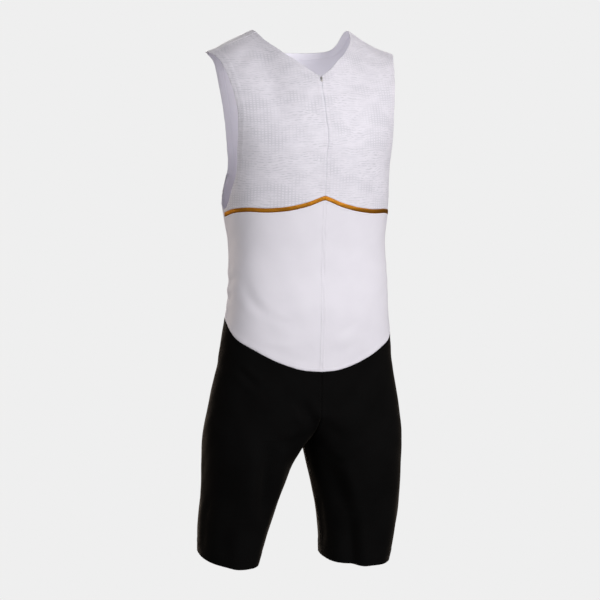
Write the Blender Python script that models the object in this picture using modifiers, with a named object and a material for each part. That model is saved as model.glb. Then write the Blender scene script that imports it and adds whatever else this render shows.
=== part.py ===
"""An athletics bodysuit in the hollow form that it has when it is worn, built from its sewn pieces.

Sizes are in metres. +Z is up, -Y is the wearer's front and +X is the wearer's left. The origin lies
midway between the shoulders, at the height where they carry the suit.

A place on the torso is an angle and a level. The angle goes round the body, from 0 at centre front
over 90 at the side to 180 at centre back. The level is 0 at the foot of the arch over the shoulders
and 1 on their ridge, and below the foot it is the depth in metres, as a negative number. A level
above 1 has gone over the ridge to the other side.
"""

from collections import namedtuple
from math import pi, radians

import bmesh
import bpy
import numpy as np
from mathutils import Matrix

WALL = 0.0012
SEAM_GAP = 0.0003
TRIM_HEIGHT = 0.0074
ZIP_WIDTH = 0.020
ZIP_THICKNESS = 0.0010
SLIDER_SIZE = (0.0052, 0.0024, 0.0095)
SLIDER_DROP = 0.0015
SLIDER_CLEARANCE = 0.0004

# Rows of faces along each stretch of an edge, and columns round a quarter of the body.
COLUMNS = 12
ZIP_SEAM_ROWS = 11
NECK_ROWS = 6
ARMPIT_ROWS = 1
FRONT_ROWS = 13
CENTRE_BACK_ROWS = 22
SIDE_SEAM_ROWS = 12
SHOULDER_ROWS = 2
HIP_ROWS = 6
CROTCH_ROWS = 8
LEG_ROWS = 13
# Places worked out along a seam before its rows or columns are spread over it.
PATH_STEPS = 61

# Level sections of the torso. The sides lie at y = side, and front and back are the outermost y.
Ring = namedtuple("Ring", "z half_width front back side squareness")
RINGS = (
    Ring(-0.760, 0.182, -0.084, 0.108, 0.021, 2.3),
    Ring(-0.722, 0.182, -0.084, 0.113, 0.019, 2.3),
    Ring(-0.690, 0.180, -0.084, 0.118, 0.016, 2.3),
    Ring(-0.640, 0.173, -0.085, 0.117, 0.012, 2.3),
    Ring(-0.573, 0.159, -0.086, 0.105, 0.005, 2.3),
    Ring(-0.513, 0.151, -0.092, 0.086, -0.003, 2.3),
    Ring(-0.456, 0.1445, -0.095, 0.070, -0.009, 2.3),
    Ring(-0.415, 0.1425, -0.094, 0.067, -0.010, 2.3),
    Ring(-0.350, 0.1405, -0.097, 0.079, -0.001, 2.3),
    Ring(-0.297, 0.1465, -0.103, 0.090, 0.006, 2.3),
    Ring(-0.260, 0.148, -0.106, 0.096, 0.011, 2.4),
    Ring(-0.210, 0.152, -0.111, 0.102, 0.018, 2.4),
    Ring(-0.170, 0.159, -0.112, 0.106, 0.022, 2.5),
    Ring(-0.110, 0.169, -0.112, 0.108, 0.028, 2.7),
    Ring(-0.050, 0.177, -0.112, 0.105, 0.033, 2.8),
    Ring(0.060, 0.180, -0.112, 0.105, 0.036, 2.8),
)

# The ridge of the shoulders, and how round the arch over it is: 1 is a straight slope, 2 an ellipse.
ARCH_FOOT = -0.190
Ridge = namedtuple("Ridge", "angle right left roundness")
RIDGE = (
    Ridge(0, 0.0600, 0.0600, 1.60),
    Ridge(10, 0.0380, 0.0390, 1.55),
    Ridge(21, 0.0160, 0.0172, 1.50),
    Ridge(30, 0.0058, 0.0032, 1.60),
    Ridge(42, -0.0062, -0.0105, 1.80),
    Ridge(54, -0.0166, -0.0184, 2.00),
    Ridge(67, -0.0230, -0.0240, 2.15),
    Ridge(90, -0.0280, -0.0330, 2.20),
)
SHOULDER_SEAM = 0.86

# Where each seam round the body lies, and how far it rises for each metre towards the wearer's right.
Seam = namedtuple("Seam", "angle z")
TRIM_TOP = (
    Seam(0, -0.2690),
    Seam(7, -0.2782),
    Seam(16, -0.2852),
    Seam(33, -0.2912),
    Seam(57, -0.2920),
    Seam(72, -0.2950),
    Seam(90, -0.3030),
)
TRIM_LEAN = 0.022
WAIST = (
    Seam(0, -0.5724),
    Seam(8, -0.5704),
    Seam(16, -0.5648),
    Seam(27, -0.5548),
    Seam(45, -0.5364),
    Seam(67, -0.5180),
    Seam(90, -0.4930),
    Seam(135, -0.4770),
    Seam(180, -0.4730),
)
WAIST_LEAN = 0.02

# The neck's edge, from its lowest point to the ridge.
Edge = namedtuple("Edge", "x z")
NECK_FRONT = (
    Edge(0.0000, -0.0660),
    Edge(0.0231, -0.0520),
    Edge(0.0397, -0.0375),
    Edge(0.0560, -0.0250),
    Edge(0.0796, -0.0005),
)
NECK_BACK = (
    Edge(0.0000, -0.0222),
    Edge(0.0300, -0.0218),
    Edge(0.0550, -0.0200),
    Edge(0.0670, -0.0165),
    Edge(0.0745, -0.0090),
    Edge(0.0795, 0.0015),
)
NECK_RIDGE_X = 0.0887

# How far the armhole reaches round the front and the back at each level, from the armpit up.
Armhole = namedtuple("Armhole", "level front back")
ARMHOLE = (
    Armhole(-0.105, 90.0, 90.0),
    Armhole(-0.096, 82.5, 78.5),
    Armhole(-0.070, 74.5, 62.5),
    Armhole(-0.020, 63.5, 49.0),
    Armhole(0.120, 57.0, 44.5),
    Armhole(0.310, 53.0, 44.0),
    Armhole(0.630, 56.5, 51.0),
    Armhole(0.820, 64.0, 63.0),
    Armhole(1.000, 71.5, 71.5),
)

# Level sections of each leg: centre is its axis' distance from the middle, and middle is the axis' y.
Leg = namedtuple("Leg", "z centre half_width middle half_depth")
RIGHT_LEG = (
    Leg(-0.930, 0.1345, 0.0498, 0.045, 0.0725),
    Leg(-0.855, 0.1232, 0.0613, 0.039, 0.0790),
    Leg(-0.806, 0.1145, 0.0667, 0.033, 0.0855),
    Leg(-0.774, 0.1085, 0.0721, 0.029, 0.0900),
    Leg(-0.740, 0.1042, 0.0770, 0.024, 0.0950),
    Leg(-0.645, 0.0900, 0.0900, 0.016, 0.1010),
)
LEFT_LEG = (
    Leg(-0.940, 0.1012, 0.0595, 0.036, 0.0745),
    Leg(-0.855, 0.1068, 0.0712, 0.032, 0.0810),
    Leg(-0.806, 0.1036, 0.0776, 0.029, 0.0865),
    Leg(-0.774, 0.1000, 0.0816, 0.026, 0.0905),
    Leg(-0.740, 0.0958, 0.0846, 0.022, 0.0950),
    Leg(-0.645, 0.0900, 0.0900, 0.016, 0.1010),
)
LEG_SQUARENESS = 2.15
# A hem's middle height, and how far it rises for each metre outwards and backwards.
Hem = namedtuple("Hem", "z outwards backwards")
RIGHT_HEM = Hem(-0.9155, 0.130, 0.10)
LEFT_HEM = Hem(-0.9275, -0.065, 0.05)

# The crotch seam is the lower half of an oval in the middle plane.
CROTCH_TOP = -0.650
CROTCH_DEPTH = 0.0605
CROTCH_MIDDLE = 0.0165
CROTCH_HALF_LENGTH = 0.1010
CROTCH_SQUARENESS = 1.4
SPLIT_Z = -0.740
SPLIT_FADE = 14
# How much of a leg's round, from its inner seam, is drawn to the crotch, and how fast that fades.
INNER_SHARE = 0.3
INNER_FADE = 3

# The largest folds. Each runs between two places, seen from the front (facing -1) or from behind (1).
Fold = namedtuple("Fold", "facing from_x from_z to_x to_z width depth")
FOLDS = (
    Fold(-1, 0.024, -0.765, 0.062, -0.812, 0.015, 0.0040),
    Fold(-1, 0.062, -0.812, 0.066, -0.940, 0.015, 0.0045),
    Fold(-1, -0.060, -0.740, -0.092, -0.815, 0.018, 0.0035),
    Fold(-1, -0.152, -0.700, -0.150, -0.930, 0.014, 0.0035),
    Fold(1, 0.030, -0.752, 0.118, -0.722, 0.016, 0.0045),
    Fold(1, -0.034, -0.758, -0.110, -0.716, 0.017, 0.0040),
    Fold(1, 0.098, -0.800, 0.078, -0.925, 0.015, 0.0035),
    Fold(1, -0.118, -0.790, -0.146, -0.915, 0.015, 0.0040),
)

WHITE = (0.86, 0.86, 0.88)
PRINT = (0.76, 0.75, 0.80)
GOLD = (0.47, 0.26, 0.07)
BLACK = (0.012, 0.012, 0.014)
STEEL = (0.35, 0.35, 0.37)
CLOTH_ROUGHNESS = 0.75
STEEL_ROUGHNESS = 0.35
SHARP_ANGLE = 40


def smooth(rows, column, at):
    """The value of a table's column at a place between its rows, on a smooth curve through them."""
    places = np.array([row[0] for row in rows])
    values = np.array([getattr(row, column) for row in rows])
    slopes = np.gradient(values, places)
    at = np.clip(at, places[0], places[-1])
    left = np.clip(np.searchsorted(places, at, side="right") - 1, 0, len(places) - 2)
    step = places[left + 1] - places[left]
    t = (at - places[left]) / step
    from_values = (1 + 2 * t) * (1 - t) ** 2 * values[left] + t**2 * (3 - 2 * t) * values[left + 1]
    from_slopes = t * (1 - t) ** 2 * slopes[left] + t**2 * (t - 1) * slopes[left + 1]
    return from_values + from_slopes * step


def ease(t):
    return t * t * (3 - 2 * t)


def oval(angle, squareness):
    """Sine and cosine of an angle on a superellipse."""
    sine, cosine = np.sin(angle), np.cos(angle)
    power = 2 / squareness
    return np.sign(sine) * np.abs(sine) ** power, np.sign(cosine) * np.abs(cosine) ** power


def ridge_z(side, from_middle):
    return smooth(RIDGE, "left" if side > 0 else "right", from_middle)


def torso(side, angle, level):
    """Points of the outer surface at these places, on the wearer's left (side 1) or right (-1)."""
    angle, level = np.broadcast_arrays(np.asarray(angle, float), np.asarray(level, float))
    angle = np.where(level > 1, 180 - angle, angle)
    level = np.where(level > 1, 2 - level, level)
    from_middle = np.minimum(angle, 180 - angle)
    rise = ridge_z(side, from_middle) - ARCH_FOOT
    up, reach = oval(radians(90) * np.clip(level, 0, 1), smooth(RIDGE, "roundness", from_middle))
    z = np.where(level > 0, ARCH_FOOT + rise * up, ARCH_FOOT + level)
    across, along = oval(np.radians(angle), smooth(RINGS, "squareness", z))
    seam = smooth(RINGS, "side", z)
    outermost = np.where(angle < 90, smooth(RINGS, "front", z), smooth(RINGS, "back", z))
    x = side * smooth(RINGS, "half_width", z) * across
    y = seam + (outermost - seam) * reach * np.abs(along)
    return np.stack([x, y, z], axis=-1)


def level_at(side, angle, z):
    """The level of a place on the torso that is given by its angle and height."""
    from_middle = np.minimum(angle, 180 - angle)
    rise = ridge_z(side, from_middle) - ARCH_FOOT
    ratio = np.clip((z - ARCH_FOOT) / rise, 0, 1)
    arch = np.arcsin(ratio ** (smooth(RIDGE, "roundness", from_middle) / 2)) / radians(90)
    return np.where(z > ARCH_FOOT, arch, z - ARCH_FOOT)


def angle_at(x, z):
    """The angle from the middle of a place on the torso that is given by its x and height."""
    ratio = x / smooth(RINGS, "half_width", z)
    return np.degrees(np.arcsin(ratio ** (smooth(RINGS, "squareness", z) / 2)))


def curved(places, steps=12):
    """Close places on a smooth curve through a few places."""
    Place = namedtuple("Place", "step angle level")
    rows = [Place(float(i), *place) for i, place in enumerate(places)]
    at = np.linspace(0, len(rows) - 1, steps * (len(rows) - 1) + 1)
    return np.stack([smooth(rows, "angle", at), smooth(rows, "level", at)], axis=-1)


def seam_line(side, table, lean, start, end, drop=0.0):
    """Places along a seam round the body, from one angle to another."""
    angle = np.linspace(start, end, 3 * PATH_STEPS)
    z = smooth(table, "z", angle) - drop
    z = z - lean * torso(side, angle, level_at(side, angle, z))[:, 0]
    return np.stack([angle, level_at(side, angle, z)], axis=-1)


def upright(angle, low, high):
    """Places straight up the body at one angle."""
    levels = np.linspace(low, high, PATH_STEPS)
    return np.stack([np.full_like(levels, angle), levels], axis=-1)


def neck_line(side, back=False):
    """Places along the neck's edge on one side, from its lowest point up to the ridge."""
    rows = NECK_BACK if back else NECK_FRONT
    angles = [angle_at(row.x, row.z) for row in rows]
    levels = [level_at(side, angle, row.z) for angle, row in zip(angles, rows)]
    places = list(zip(angles, levels)) + [(angle_at(NECK_RIDGE_X, 0.0), 1.0)]
    return curved(places)


def armhole_line(back=False):
    """Places along the armhole's edge from the armpit up to the ridge, as angles from the middle."""
    return curved([(row.back if back else row.front, row.level) for row in ARMHOLE])


def up_to(path, level):
    """The part of a rising path of places that lies below a level."""
    angle = np.interp(level, path[:, 1], path[:, 0])
    return np.vstack([path[path[:, 1] < level - 1e-6], [[angle, level]]])


def from_behind(path):
    """The same places on the other side of the body: front ones come over the ridge."""
    return np.stack([180 - path[:, 0], path[:, 1]], axis=-1)


def over_ridge(path):
    """Places of the front as the back piece counts them, from the ridge down."""
    return np.stack([180 - path[:, 0], 2 - path[:, 1]], axis=-1)[::-1]


def spread(side, path, count):
    """Places at even real distances along a path, one more than count."""
    points = torso(side, path[:, 0], path[:, 1])
    lengths = np.r_[0, np.cumsum(np.linalg.norm(np.diff(points, axis=0), axis=1))]
    even = np.linspace(0, lengths[-1], count + 1)
    return np.stack([np.interp(even, lengths, path[:, 0]), np.interp(even, lengths, path[:, 1])], axis=-1)


def joined(side, stretches):
    """Places along an edge of several stretches, each a path and its count of rows."""
    parts = [spread(side, path, count) for path, count in stretches]
    return np.vstack([parts[0]] + [part[1:] for part in parts[1:]])


def filled(bottom, top, inner, outer):
    """A grid of places, row by row, between four edges that meet at their ends."""
    u = np.linspace(0, 1, len(bottom))[None, :, None]
    v = np.linspace(0, 1, len(inner))[:, None, None]
    from_corners = (1 - v) * ((1 - u) * bottom[0] + u * bottom[-1]) + v * ((1 - u) * top[0] + u * top[-1])
    return (1 - v) * bottom + v * top + (1 - u) * inner[:, None] + u * outer[:, None] - from_corners


def inset(points, distance=SEAM_GAP / 2):
    """Draws a grid's four edges in, so that pieces stay apart at their seams."""
    points = points.copy()
    for edge, beside in ((0, 1), (-1, -2)):
        step = points[beside] - points[edge]
        points[edge] += distance * step / np.linalg.norm(step, axis=-1, keepdims=True)
        step = points[:, beside] - points[:, edge]
        points[:, edge] += distance * step / np.linalg.norm(step, axis=-1, keepdims=True)
    return points


def yoke_points(side):
    bottom = spread(side, seam_line(side, TRIM_TOP, TRIM_LEAN, 0, 90), COLUMNS)
    neck = up_to(neck_line(side), SHOULDER_SEAM)
    armhole = up_to(armhole_line(), SHOULDER_SEAM)
    top = spread(side, shoulder_seam(neck, armhole), COLUMNS)
    zip_seam = upright(0, bottom[0, 1], neck[0, 1])
    side_seam = upright(90, bottom[-1, 1], armhole[0, 1])
    inner = joined(side, [(zip_seam, ZIP_SEAM_ROWS), (neck, NECK_ROWS)])
    outer = joined(side, [(side_seam, ARMPIT_ROWS), (armhole, len(inner) - 1 - ARMPIT_ROWS)])
    grid = filled(bottom, top, inner, outer)
    return torso(side, grid[..., 0], grid[..., 1])


def shoulder_seam(neck, armhole):
    angles = np.linspace(neck[-1, 0], armhole[-1, 0], PATH_STEPS)
    return np.stack([angles, np.full_like(angles, SHOULDER_SEAM)], axis=-1)


def trim_points(side):
    bottom = spread(side, seam_line(side, TRIM_TOP, TRIM_LEAN, 0, 90, TRIM_HEIGHT), COLUMNS)
    top = spread(side, seam_line(side, TRIM_TOP, TRIM_LEAN, 0, 90), COLUMNS)
    grid = np.stack([bottom, top])
    return torso(side, grid[..., 0], grid[..., 1])


def front_body_points(side):
    bottom = spread(side, seam_line(side, WAIST, WAIST_LEAN, 0, 90), COLUMNS)
    top = spread(side, seam_line(side, TRIM_TOP, TRIM_LEAN, 0, 90, TRIM_HEIGHT), COLUMNS)
    inner = spread(side, upright(0, bottom[0, 1], top[0, 1]), FRONT_ROWS)
    outer = spread(side, upright(90, bottom[-1, 1], top[-1, 1]), FRONT_ROWS)
    grid = filled(bottom, top, inner, outer)
    return torso(side, grid[..., 0], grid[..., 1])


def back_points(side):
    """One half of the back, from the centre out and from the shorts up over the shoulder."""
    bottom = spread(side, seam_line(side, WAIST, WAIST_LEAN, 180, 90), COLUMNS)
    front_neck = neck_line(side)
    front_armhole = armhole_line()
    seam = shoulder_seam(up_to(front_neck, SHOULDER_SEAM), up_to(front_armhole, SHOULDER_SEAM))
    top = over_ridge(spread(side, seam, COLUMNS))[::-1]
    neck = from_behind(neck_line(side, back=True))
    armhole = from_behind(armhole_line(back=True))
    inner = joined(
        side,
        [
            (upright(180, bottom[0, 1], neck[0, 1]), CENTRE_BACK_ROWS),
            (neck, NECK_ROWS),
            (beyond(front_neck), SHOULDER_ROWS),
        ],
    )
    armhole_rows = len(inner) - 1 - SIDE_SEAM_ROWS - SHOULDER_ROWS
    outer = joined(
        side,
        [
            (upright(90, bottom[-1, 1], armhole[0, 1]), SIDE_SEAM_ROWS),
            (armhole, armhole_rows),
            (beyond(front_armhole), SHOULDER_ROWS),
        ],
    )
    grid = filled(bottom, top, inner, outer)
    points = inset(torso(side, grid[..., 0], grid[..., 1]))
    points[: CENTRE_BACK_ROWS + 1, 0, 0] = 0.0
    return points


def beyond(path):
    """The front stretch between the ridge and the shoulder seam, from the ridge down."""
    above = path[path[:, 1] > SHOULDER_SEAM + 1e-6][:-1]
    return over_ridge(np.vstack([up_to(path, SHOULDER_SEAM)[-1:], above]))


def folded(points, outwards):
    """Presses the folds into a leg's grid of outer points, up to its sewn edges."""
    normals = normals_of(points, outwards)
    for fold in FOLDS:
        start = np.array([fold.from_x, fold.from_z])
        run = np.array([fold.to_x, fold.to_z]) - start
        offset = points[..., [0, 2]] - start
        along = np.clip(offset @ run / (run @ run), 0, 1)
        distance = np.linalg.norm(offset - along[..., None] * run, axis=-1)
        facing = np.clip(fold.facing * normals[..., 1], 0, 1)
        push = fold.depth * facing * np.exp(-((distance / fold.width) ** 2))
        push[0] = 0
        push[:, [0, -1]] = 0
        points = points - push[..., None] * normals
    return points


def leg_ring(side, table, z, turn):
    """Points of a leg's level section: turn runs from 0, the inner side, over the front to 1."""
    along, across = oval(2 * pi * turn, LEG_SQUARENESS)
    x = smooth(table, "centre", z) - smooth(table, "half_width", z) * across
    y = smooth(table, "middle", z) - smooth(table, "half_depth", z) * along
    return np.stack([side * x, y, np.full_like(x, z)], axis=-1)


def crotch_point(t, back):
    """A point of the crotch seam: t runs from 0, at centre front or back, to 1 at its lowest point."""
    down, along = oval(radians(90) * t, CROTCH_SQUARENESS)
    reach = CROTCH_HALF_LENGTH * along * (1 if back else -1)
    return np.array([0.0, CROTCH_MIDDLE + reach, CROTCH_TOP - CROTCH_DEPTH * down])


def leg_points(side):
    """One side of the shorts, row by row from the waist down, each row from inner front to inner back."""
    table, hem = (LEFT_LEG, LEFT_HEM) if side > 0 else (RIGHT_LEG, RIGHT_HEM)
    front = spread(side, seam_line(side, WAIST, WAIST_LEAN, 0, 90), COLUMNS)
    back = spread(side, seam_line(side, WAIST, WAIST_LEAN, 180, 90), COLUMNS)[::-1]
    waist = np.vstack([front, back[1:]])
    turn = np.linspace(0, 1, len(waist))
    near_front = np.clip(1 - turn / INNER_SHARE, 0, 1) ** INNER_FADE
    near_back = near_front[::-1]
    rows = []
    for t in np.linspace(0, 1, HIP_ROWS + 1):
        rows.append(torso(side, waist[:, 0], (1 - t) * waist[:, 1] + t * (CROTCH_TOP - ARCH_FOOT)))
    for t in np.linspace(0, 1, CROTCH_ROWS + 1)[1:]:
        z = (1 - t) * CROTCH_TOP + t * SPLIT_Z
        hips = torso(side, waist[:, 0], z - ARCH_FOOT)
        ring = (1 - ease(t)) * hips + ease(t) * leg_ring(side, table, z, turn)
        to_front = crotch_point(t, back=False) - ring[0]
        to_back = crotch_point(t, back=True) - ring[-1]
        rows.append(ring + near_front[:, None] * to_front + near_back[:, None] * to_back)
    lift = rows[-1][0] - leg_ring(side, table, SPLIT_Z, turn)[0]
    for t in np.linspace(0, 1, LEG_ROWS + 1)[1:]:
        z = (1 - t) * SPLIT_Z + t * hem.z
        ring = leg_ring(side, table, z, turn)
        outwards = side * ring[:, 0] - smooth(table, "centre", z)
        backwards = ring[:, 1] - smooth(table, "middle", z)
        ring[:, 2] += t * (hem.outwards * outwards + hem.backwards * backwards)
        rows.append(ring + (near_front + near_back)[:, None] * lift * (1 - t) ** SPLIT_FADE)
    points = folded(np.array(rows), -side)
    points[: HIP_ROWS + CROTCH_ROWS + 1, [0, -1], 0] = side * SEAM_GAP / 2
    points[0, :, 2] -= SEAM_GAP / 2
    return points


def normals_of(points, outwards):
    across = np.gradient(points, axis=1)
    up = np.gradient(points, axis=0)
    normals = outwards * np.cross(across, up)
    return normals / np.linalg.norm(normals, axis=-1, keepdims=True)


def principled(name, colour, roughness, metallic=0.0):
    material = bpy.data.materials.new(name)
    material.use_nodes = True
    shader = material.node_tree.nodes["Principled BSDF"]
    shader.inputs["Base Color"].default_value = (*colour, 1.0)
    shader.inputs["Roughness"].default_value = roughness
    shader.inputs["Metallic"].default_value = metallic
    return material


def add_sheet(collection, name, grids, colour, wall=WALL):
    """A cloth piece: grids of outer points, each with 1 or -1 for the way it faces, given a wall inwards."""
    points, faces = [], []
    for grid, outwards in grids:
        index = np.arange(grid[..., 0].size).reshape(grid.shape[:2]) + len(points)
        corners = [index[:-1, :-1], index[:-1, 1:], index[1:, 1:], index[1:, :-1]]
        faces += np.stack(corners[::outwards], axis=-1).reshape(-1, 4).tolist()
        points += grid.reshape(-1, 3).tolist()
    mesh = bpy.data.meshes.new(name)
    mesh.from_pydata(points, [], faces)
    weld(mesh)
    mesh.shade_smooth()
    mesh.set_sharp_from_angle(angle=radians(SHARP_ANGLE))
    mesh.materials.append(principled(name, colour, CLOTH_ROUGHNESS))
    sheet = bpy.data.objects.new(name, mesh)
    collection.objects.link(sheet)
    solidify = sheet.modifiers.new("wall", "SOLIDIFY")
    solidify.thickness = wall
    solidify.offset = -1
    solidify.use_even_offset = True
    return sheet


def weld(mesh):
    """Makes one point of those that meet, as along a leg's inner seam."""
    work = bmesh.new()
    work.from_mesh(mesh)
    bmesh.ops.remove_doubles(work, verts=work.verts, dist=1e-6)
    work.to_mesh(mesh)
    work.free()


def add_zip_tape(collection):
    """The zip's tape behind the centre front of the yoke, from the neck down to the strip."""
    low, high = level_at(1, 0.0, TRIM_TOP[0].z), level_at(1, 0.0, NECK_FRONT[0].z)
    levels = spread(1, upright(0, low, high), ZIP_SEAM_ROWS)[1:-1, 1]
    edge = angle_at(ZIP_WIDTH / 2, ARCH_FOOT)
    places = [(-1, edge), (1, 0.0), (1, edge)]
    points = np.stack([torso(side, angle, levels) for side, angle in places], axis=1)
    points = points - (WALL + 2 * SEAM_GAP) * normals_of(points, 1)
    add_sheet(collection, "zip_tape", [(points, 1)], WHITE, ZIP_THICKNESS)


def add_slider(collection):
    """The zip's slider, lying on the two yoke edges at the foot of the neck."""
    top = NECK_FRONT[0].z - SLIDER_DROP
    foot = top - SLIDER_SIZE[2]
    upper, lower = [torso(1, 0.0, level_at(1, 0.0, z)) for z in (top, foot)]
    slope = np.arctan2(upper[1] - lower[1], upper[2] - lower[2])
    outwards = np.array([0.0, -np.cos(slope), np.sin(slope)])
    middle = (upper + lower) / 2 + (SLIDER_SIZE[1] / 2 + SLIDER_CLEARANCE) * outwards
    bpy.ops.mesh.primitive_cube_add(size=1, location=middle, rotation=(-slope, 0, 0))
    slider = bpy.context.object
    slider.name = "zip_slider"
    slider.data.transform(Matrix.Diagonal((*SLIDER_SIZE, 1.0)))
    slider.data.materials.append(principled("zip_slider", STEEL, STEEL_ROUGHNESS, 1.0))
    for other in list(slider.users_collection):
        other.objects.unlink(slider)
    collection.objects.link(slider)


def main():
    for obj in list(bpy.data.objects):
        bpy.data.objects.remove(obj, do_unlink=True)
    collection = bpy.data.collections.new("athletics_bodysuit")
    bpy.context.scene.collection.children.link(collection)
    for side, name in ((1, "left"), (-1, "right")):
        add_sheet(collection, f"front_yoke_{name}", [(inset(yoke_points(side)), side)], PRINT)
        add_sheet(collection, f"trim_{name}", [(inset(trim_points(side)), side)], GOLD)
        add_sheet(collection, f"front_body_{name}", [(inset(front_body_points(side)), side)], WHITE)
        add_sheet(collection, f"leg_{name}", [(leg_points(side), -side)], BLACK)
    add_sheet(collection, "back_body", [(back_points(1), -1), (back_points(-1), 1)], WHITE)
    add_zip_tape(collection)
    add_slider(collection)


main()
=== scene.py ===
"""Looks of the athletics bodysuit: fine cloth, seams, stitches and zip on the solid model's form.

Sizes are in metres, in the model's own frame: +Z up, -Y the wearer's front, +X the wearer's left.

A place on the torso is an angle and a level. The angle goes round the body, from 0 at centre front
over 90 at the side to 180 at centre back. The level is 0 at the foot of the arch over the shoulders
and 1 on their ridge, and below the foot it is the depth in metres, as a negative number. A level
above 1 has gone over the ridge to the other side.

Each cloth piece is a grid of its outer points. Its folds and the relief of its seams are pressed
into it along its normals, each as a function of the place in space, so that neighbours agree.
"""

from collections import namedtuple
from math import pi, radians

import bmesh
import bpy
import numpy as np
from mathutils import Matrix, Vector
from mathutils.bvhtree import BVHTree
from mathutils.kdtree import KDTree


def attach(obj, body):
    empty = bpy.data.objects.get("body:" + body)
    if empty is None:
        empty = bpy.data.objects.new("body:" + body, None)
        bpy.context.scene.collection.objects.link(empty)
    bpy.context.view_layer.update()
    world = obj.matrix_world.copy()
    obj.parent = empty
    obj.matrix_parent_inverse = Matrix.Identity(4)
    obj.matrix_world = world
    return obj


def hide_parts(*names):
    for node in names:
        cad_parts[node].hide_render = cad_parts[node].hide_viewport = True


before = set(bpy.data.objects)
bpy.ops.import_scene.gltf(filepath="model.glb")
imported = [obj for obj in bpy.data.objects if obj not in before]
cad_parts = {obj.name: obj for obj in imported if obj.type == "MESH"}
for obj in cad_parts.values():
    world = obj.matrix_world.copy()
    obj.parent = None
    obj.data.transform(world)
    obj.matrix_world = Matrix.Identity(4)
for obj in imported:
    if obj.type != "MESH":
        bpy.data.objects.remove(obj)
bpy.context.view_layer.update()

# The cloth and how it is sewn.
WALL = 0.0007
SEAM_GAP = 0.0001
WELD_DISTANCE = 2e-6
TRIM_HEIGHT = 0.0074
HEM_RADIUS = 0.0008
HEM_STEP = 0.00035
NECK_HEM = 0.013
LEG_HEM = 0.022
ZIP_HEM = 0.008
# How far a seam's stitches lie from it, and the dip that they draw into the cloth.
NECK_STITCH = 0.006
SHOULDER_STITCH = 0.0045
ZIP_STITCH = 0.0075
STRIP_STITCH = 0.0010
SEAM_STITCH = 0.0030
WAIST_STITCH = 0.0072
WAIST_EDGE_STITCH = 0.0016
LEG_SEAM_STITCH = 0.0025
HEM_STITCHES = (0.0165, 0.0195)
STITCH_DIP = 0.0003
STITCH_DIP_WIDTH = 0.0008
HEM_DIP_WIDTH = 0.0010
ZIP_STITCH_DIP = 0.0002
ZIP_DIP = 0.0006
ZIP_DIP_WIDTH = 0.0014
STITCH_LENGTH = 0.0024
STITCH_PITCH = 0.0031
STITCH_RADIUS = 0.00024
ZIP_WIDTH = 0.020
ZIP_THICKNESS = 0.0006
ZIP_DEPTH = 0.0022
# The zip's line sways in waves, each with its share of the height, its length and its shift. The cloth
# beside it is drawn along.
ZIP_WAVE = 0.0005
ZIP_WAVES = ((1.0, 0.061, 0.6), (0.5, 0.027, 0.0))
ZIP_PULL_WIDTH = 0.030
# The sway starts this far below the neck, clear of the slider. It rises and dies down over these shares
# of the zip's length.
ZIP_STILL_DROP = 0.012
ZIP_STILL_TOP = 1 / 6
ZIP_STILL_FOOT = 1 / 3
# The zip bows towards the wearer's left about this height.
ZIP_BOW = 0.0040
ZIP_BOW_Z = -0.161
ZIP_BOW_SPAN = 0.034
# The zip's edges are sewn together at its foot, and the seam at centre front lies flat at its top. On
# that side of the height only a share of the relief is left, and it rises to the whole over a length.
Fade = namedtuple("Fade", "z rise share")
FADES = {"zip": Fade(-0.205, 0.030, 0.25), "centre": Fade(-0.430, -0.070, 0.15)}
# The rings of a stitch or a tooth: the place along it, the share of its radius and the rise out of the
# cloth, in radii.
ROD_PROFILE = ((-0.5, 0.4, -0.9), (-0.28, 1.0, 0.25), (0.28, 1.0, 0.25), (0.5, 0.4, -0.9))
TOOTH_PITCH = 0.0014
TOOTH_LENGTH = 0.0038
TOOTH_RADIUS = 0.00042
TOOTH_OFFSET = 0.0007
SLIDER_SIZE = (0.0052, 0.0024, 0.0095)
SLIDER_DROP = 0.0015
SLIDER_CLEARANCE = 0.0004
# The slider's body is a stack of outlines, each at a share of its thickness. They draw in at a waist,
# whose place and length are shares of half the body's length. The bridge over it is a bent bar, with its
# reach as a share of the length, and its foot and rise as shares of the thickness.
SLIDER_WAIST = 0.34
SLIDER_WAIST_AT = -0.05
SLIDER_WAIST_LENGTH = 0.32
SLIDER_OUTLINES = ((0, 0.86), (0.12, 0.97), (0.25, 1.0), (0.42, 0.97), (0.52, 0.86))
BRIDGE_REACH = 0.34
BRIDGE_FOOT = 0.40
BRIDGE_RISE = 0.42
BRIDGE_SECTION = (0.00075, 0.0004)

# Rows of faces along each stretch of an edge, and columns round a quarter of the body.
FINE = 6
COLUMNS = 12 * FINE
ZIP_SEAM_ROWS = 11 * FINE
NECK_ROWS = 6 * FINE
ARMPIT_ROWS = 1 * FINE
FRONT_ROWS = 13 * FINE
CENTRE_BACK_ROWS = 22 * FINE
SIDE_SEAM_ROWS = 12 * FINE
SHOULDER_ROWS = 2 * FINE
HIP_ROWS = 6 * FINE
CROTCH_ROWS = 8 * FINE
LEG_ROWS = 13 * FINE
TRIM_ROWS = 6
# Rows over a turned edge's round and on the cloth that is turned under, and the slope of its mitre.
ROUND_ROWS = 4
UNDER_ROWS = 5
MITRE = 0.9
# Places worked out along a seam before its rows or columns are spread over it.
PATH_STEPS = 61
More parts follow.
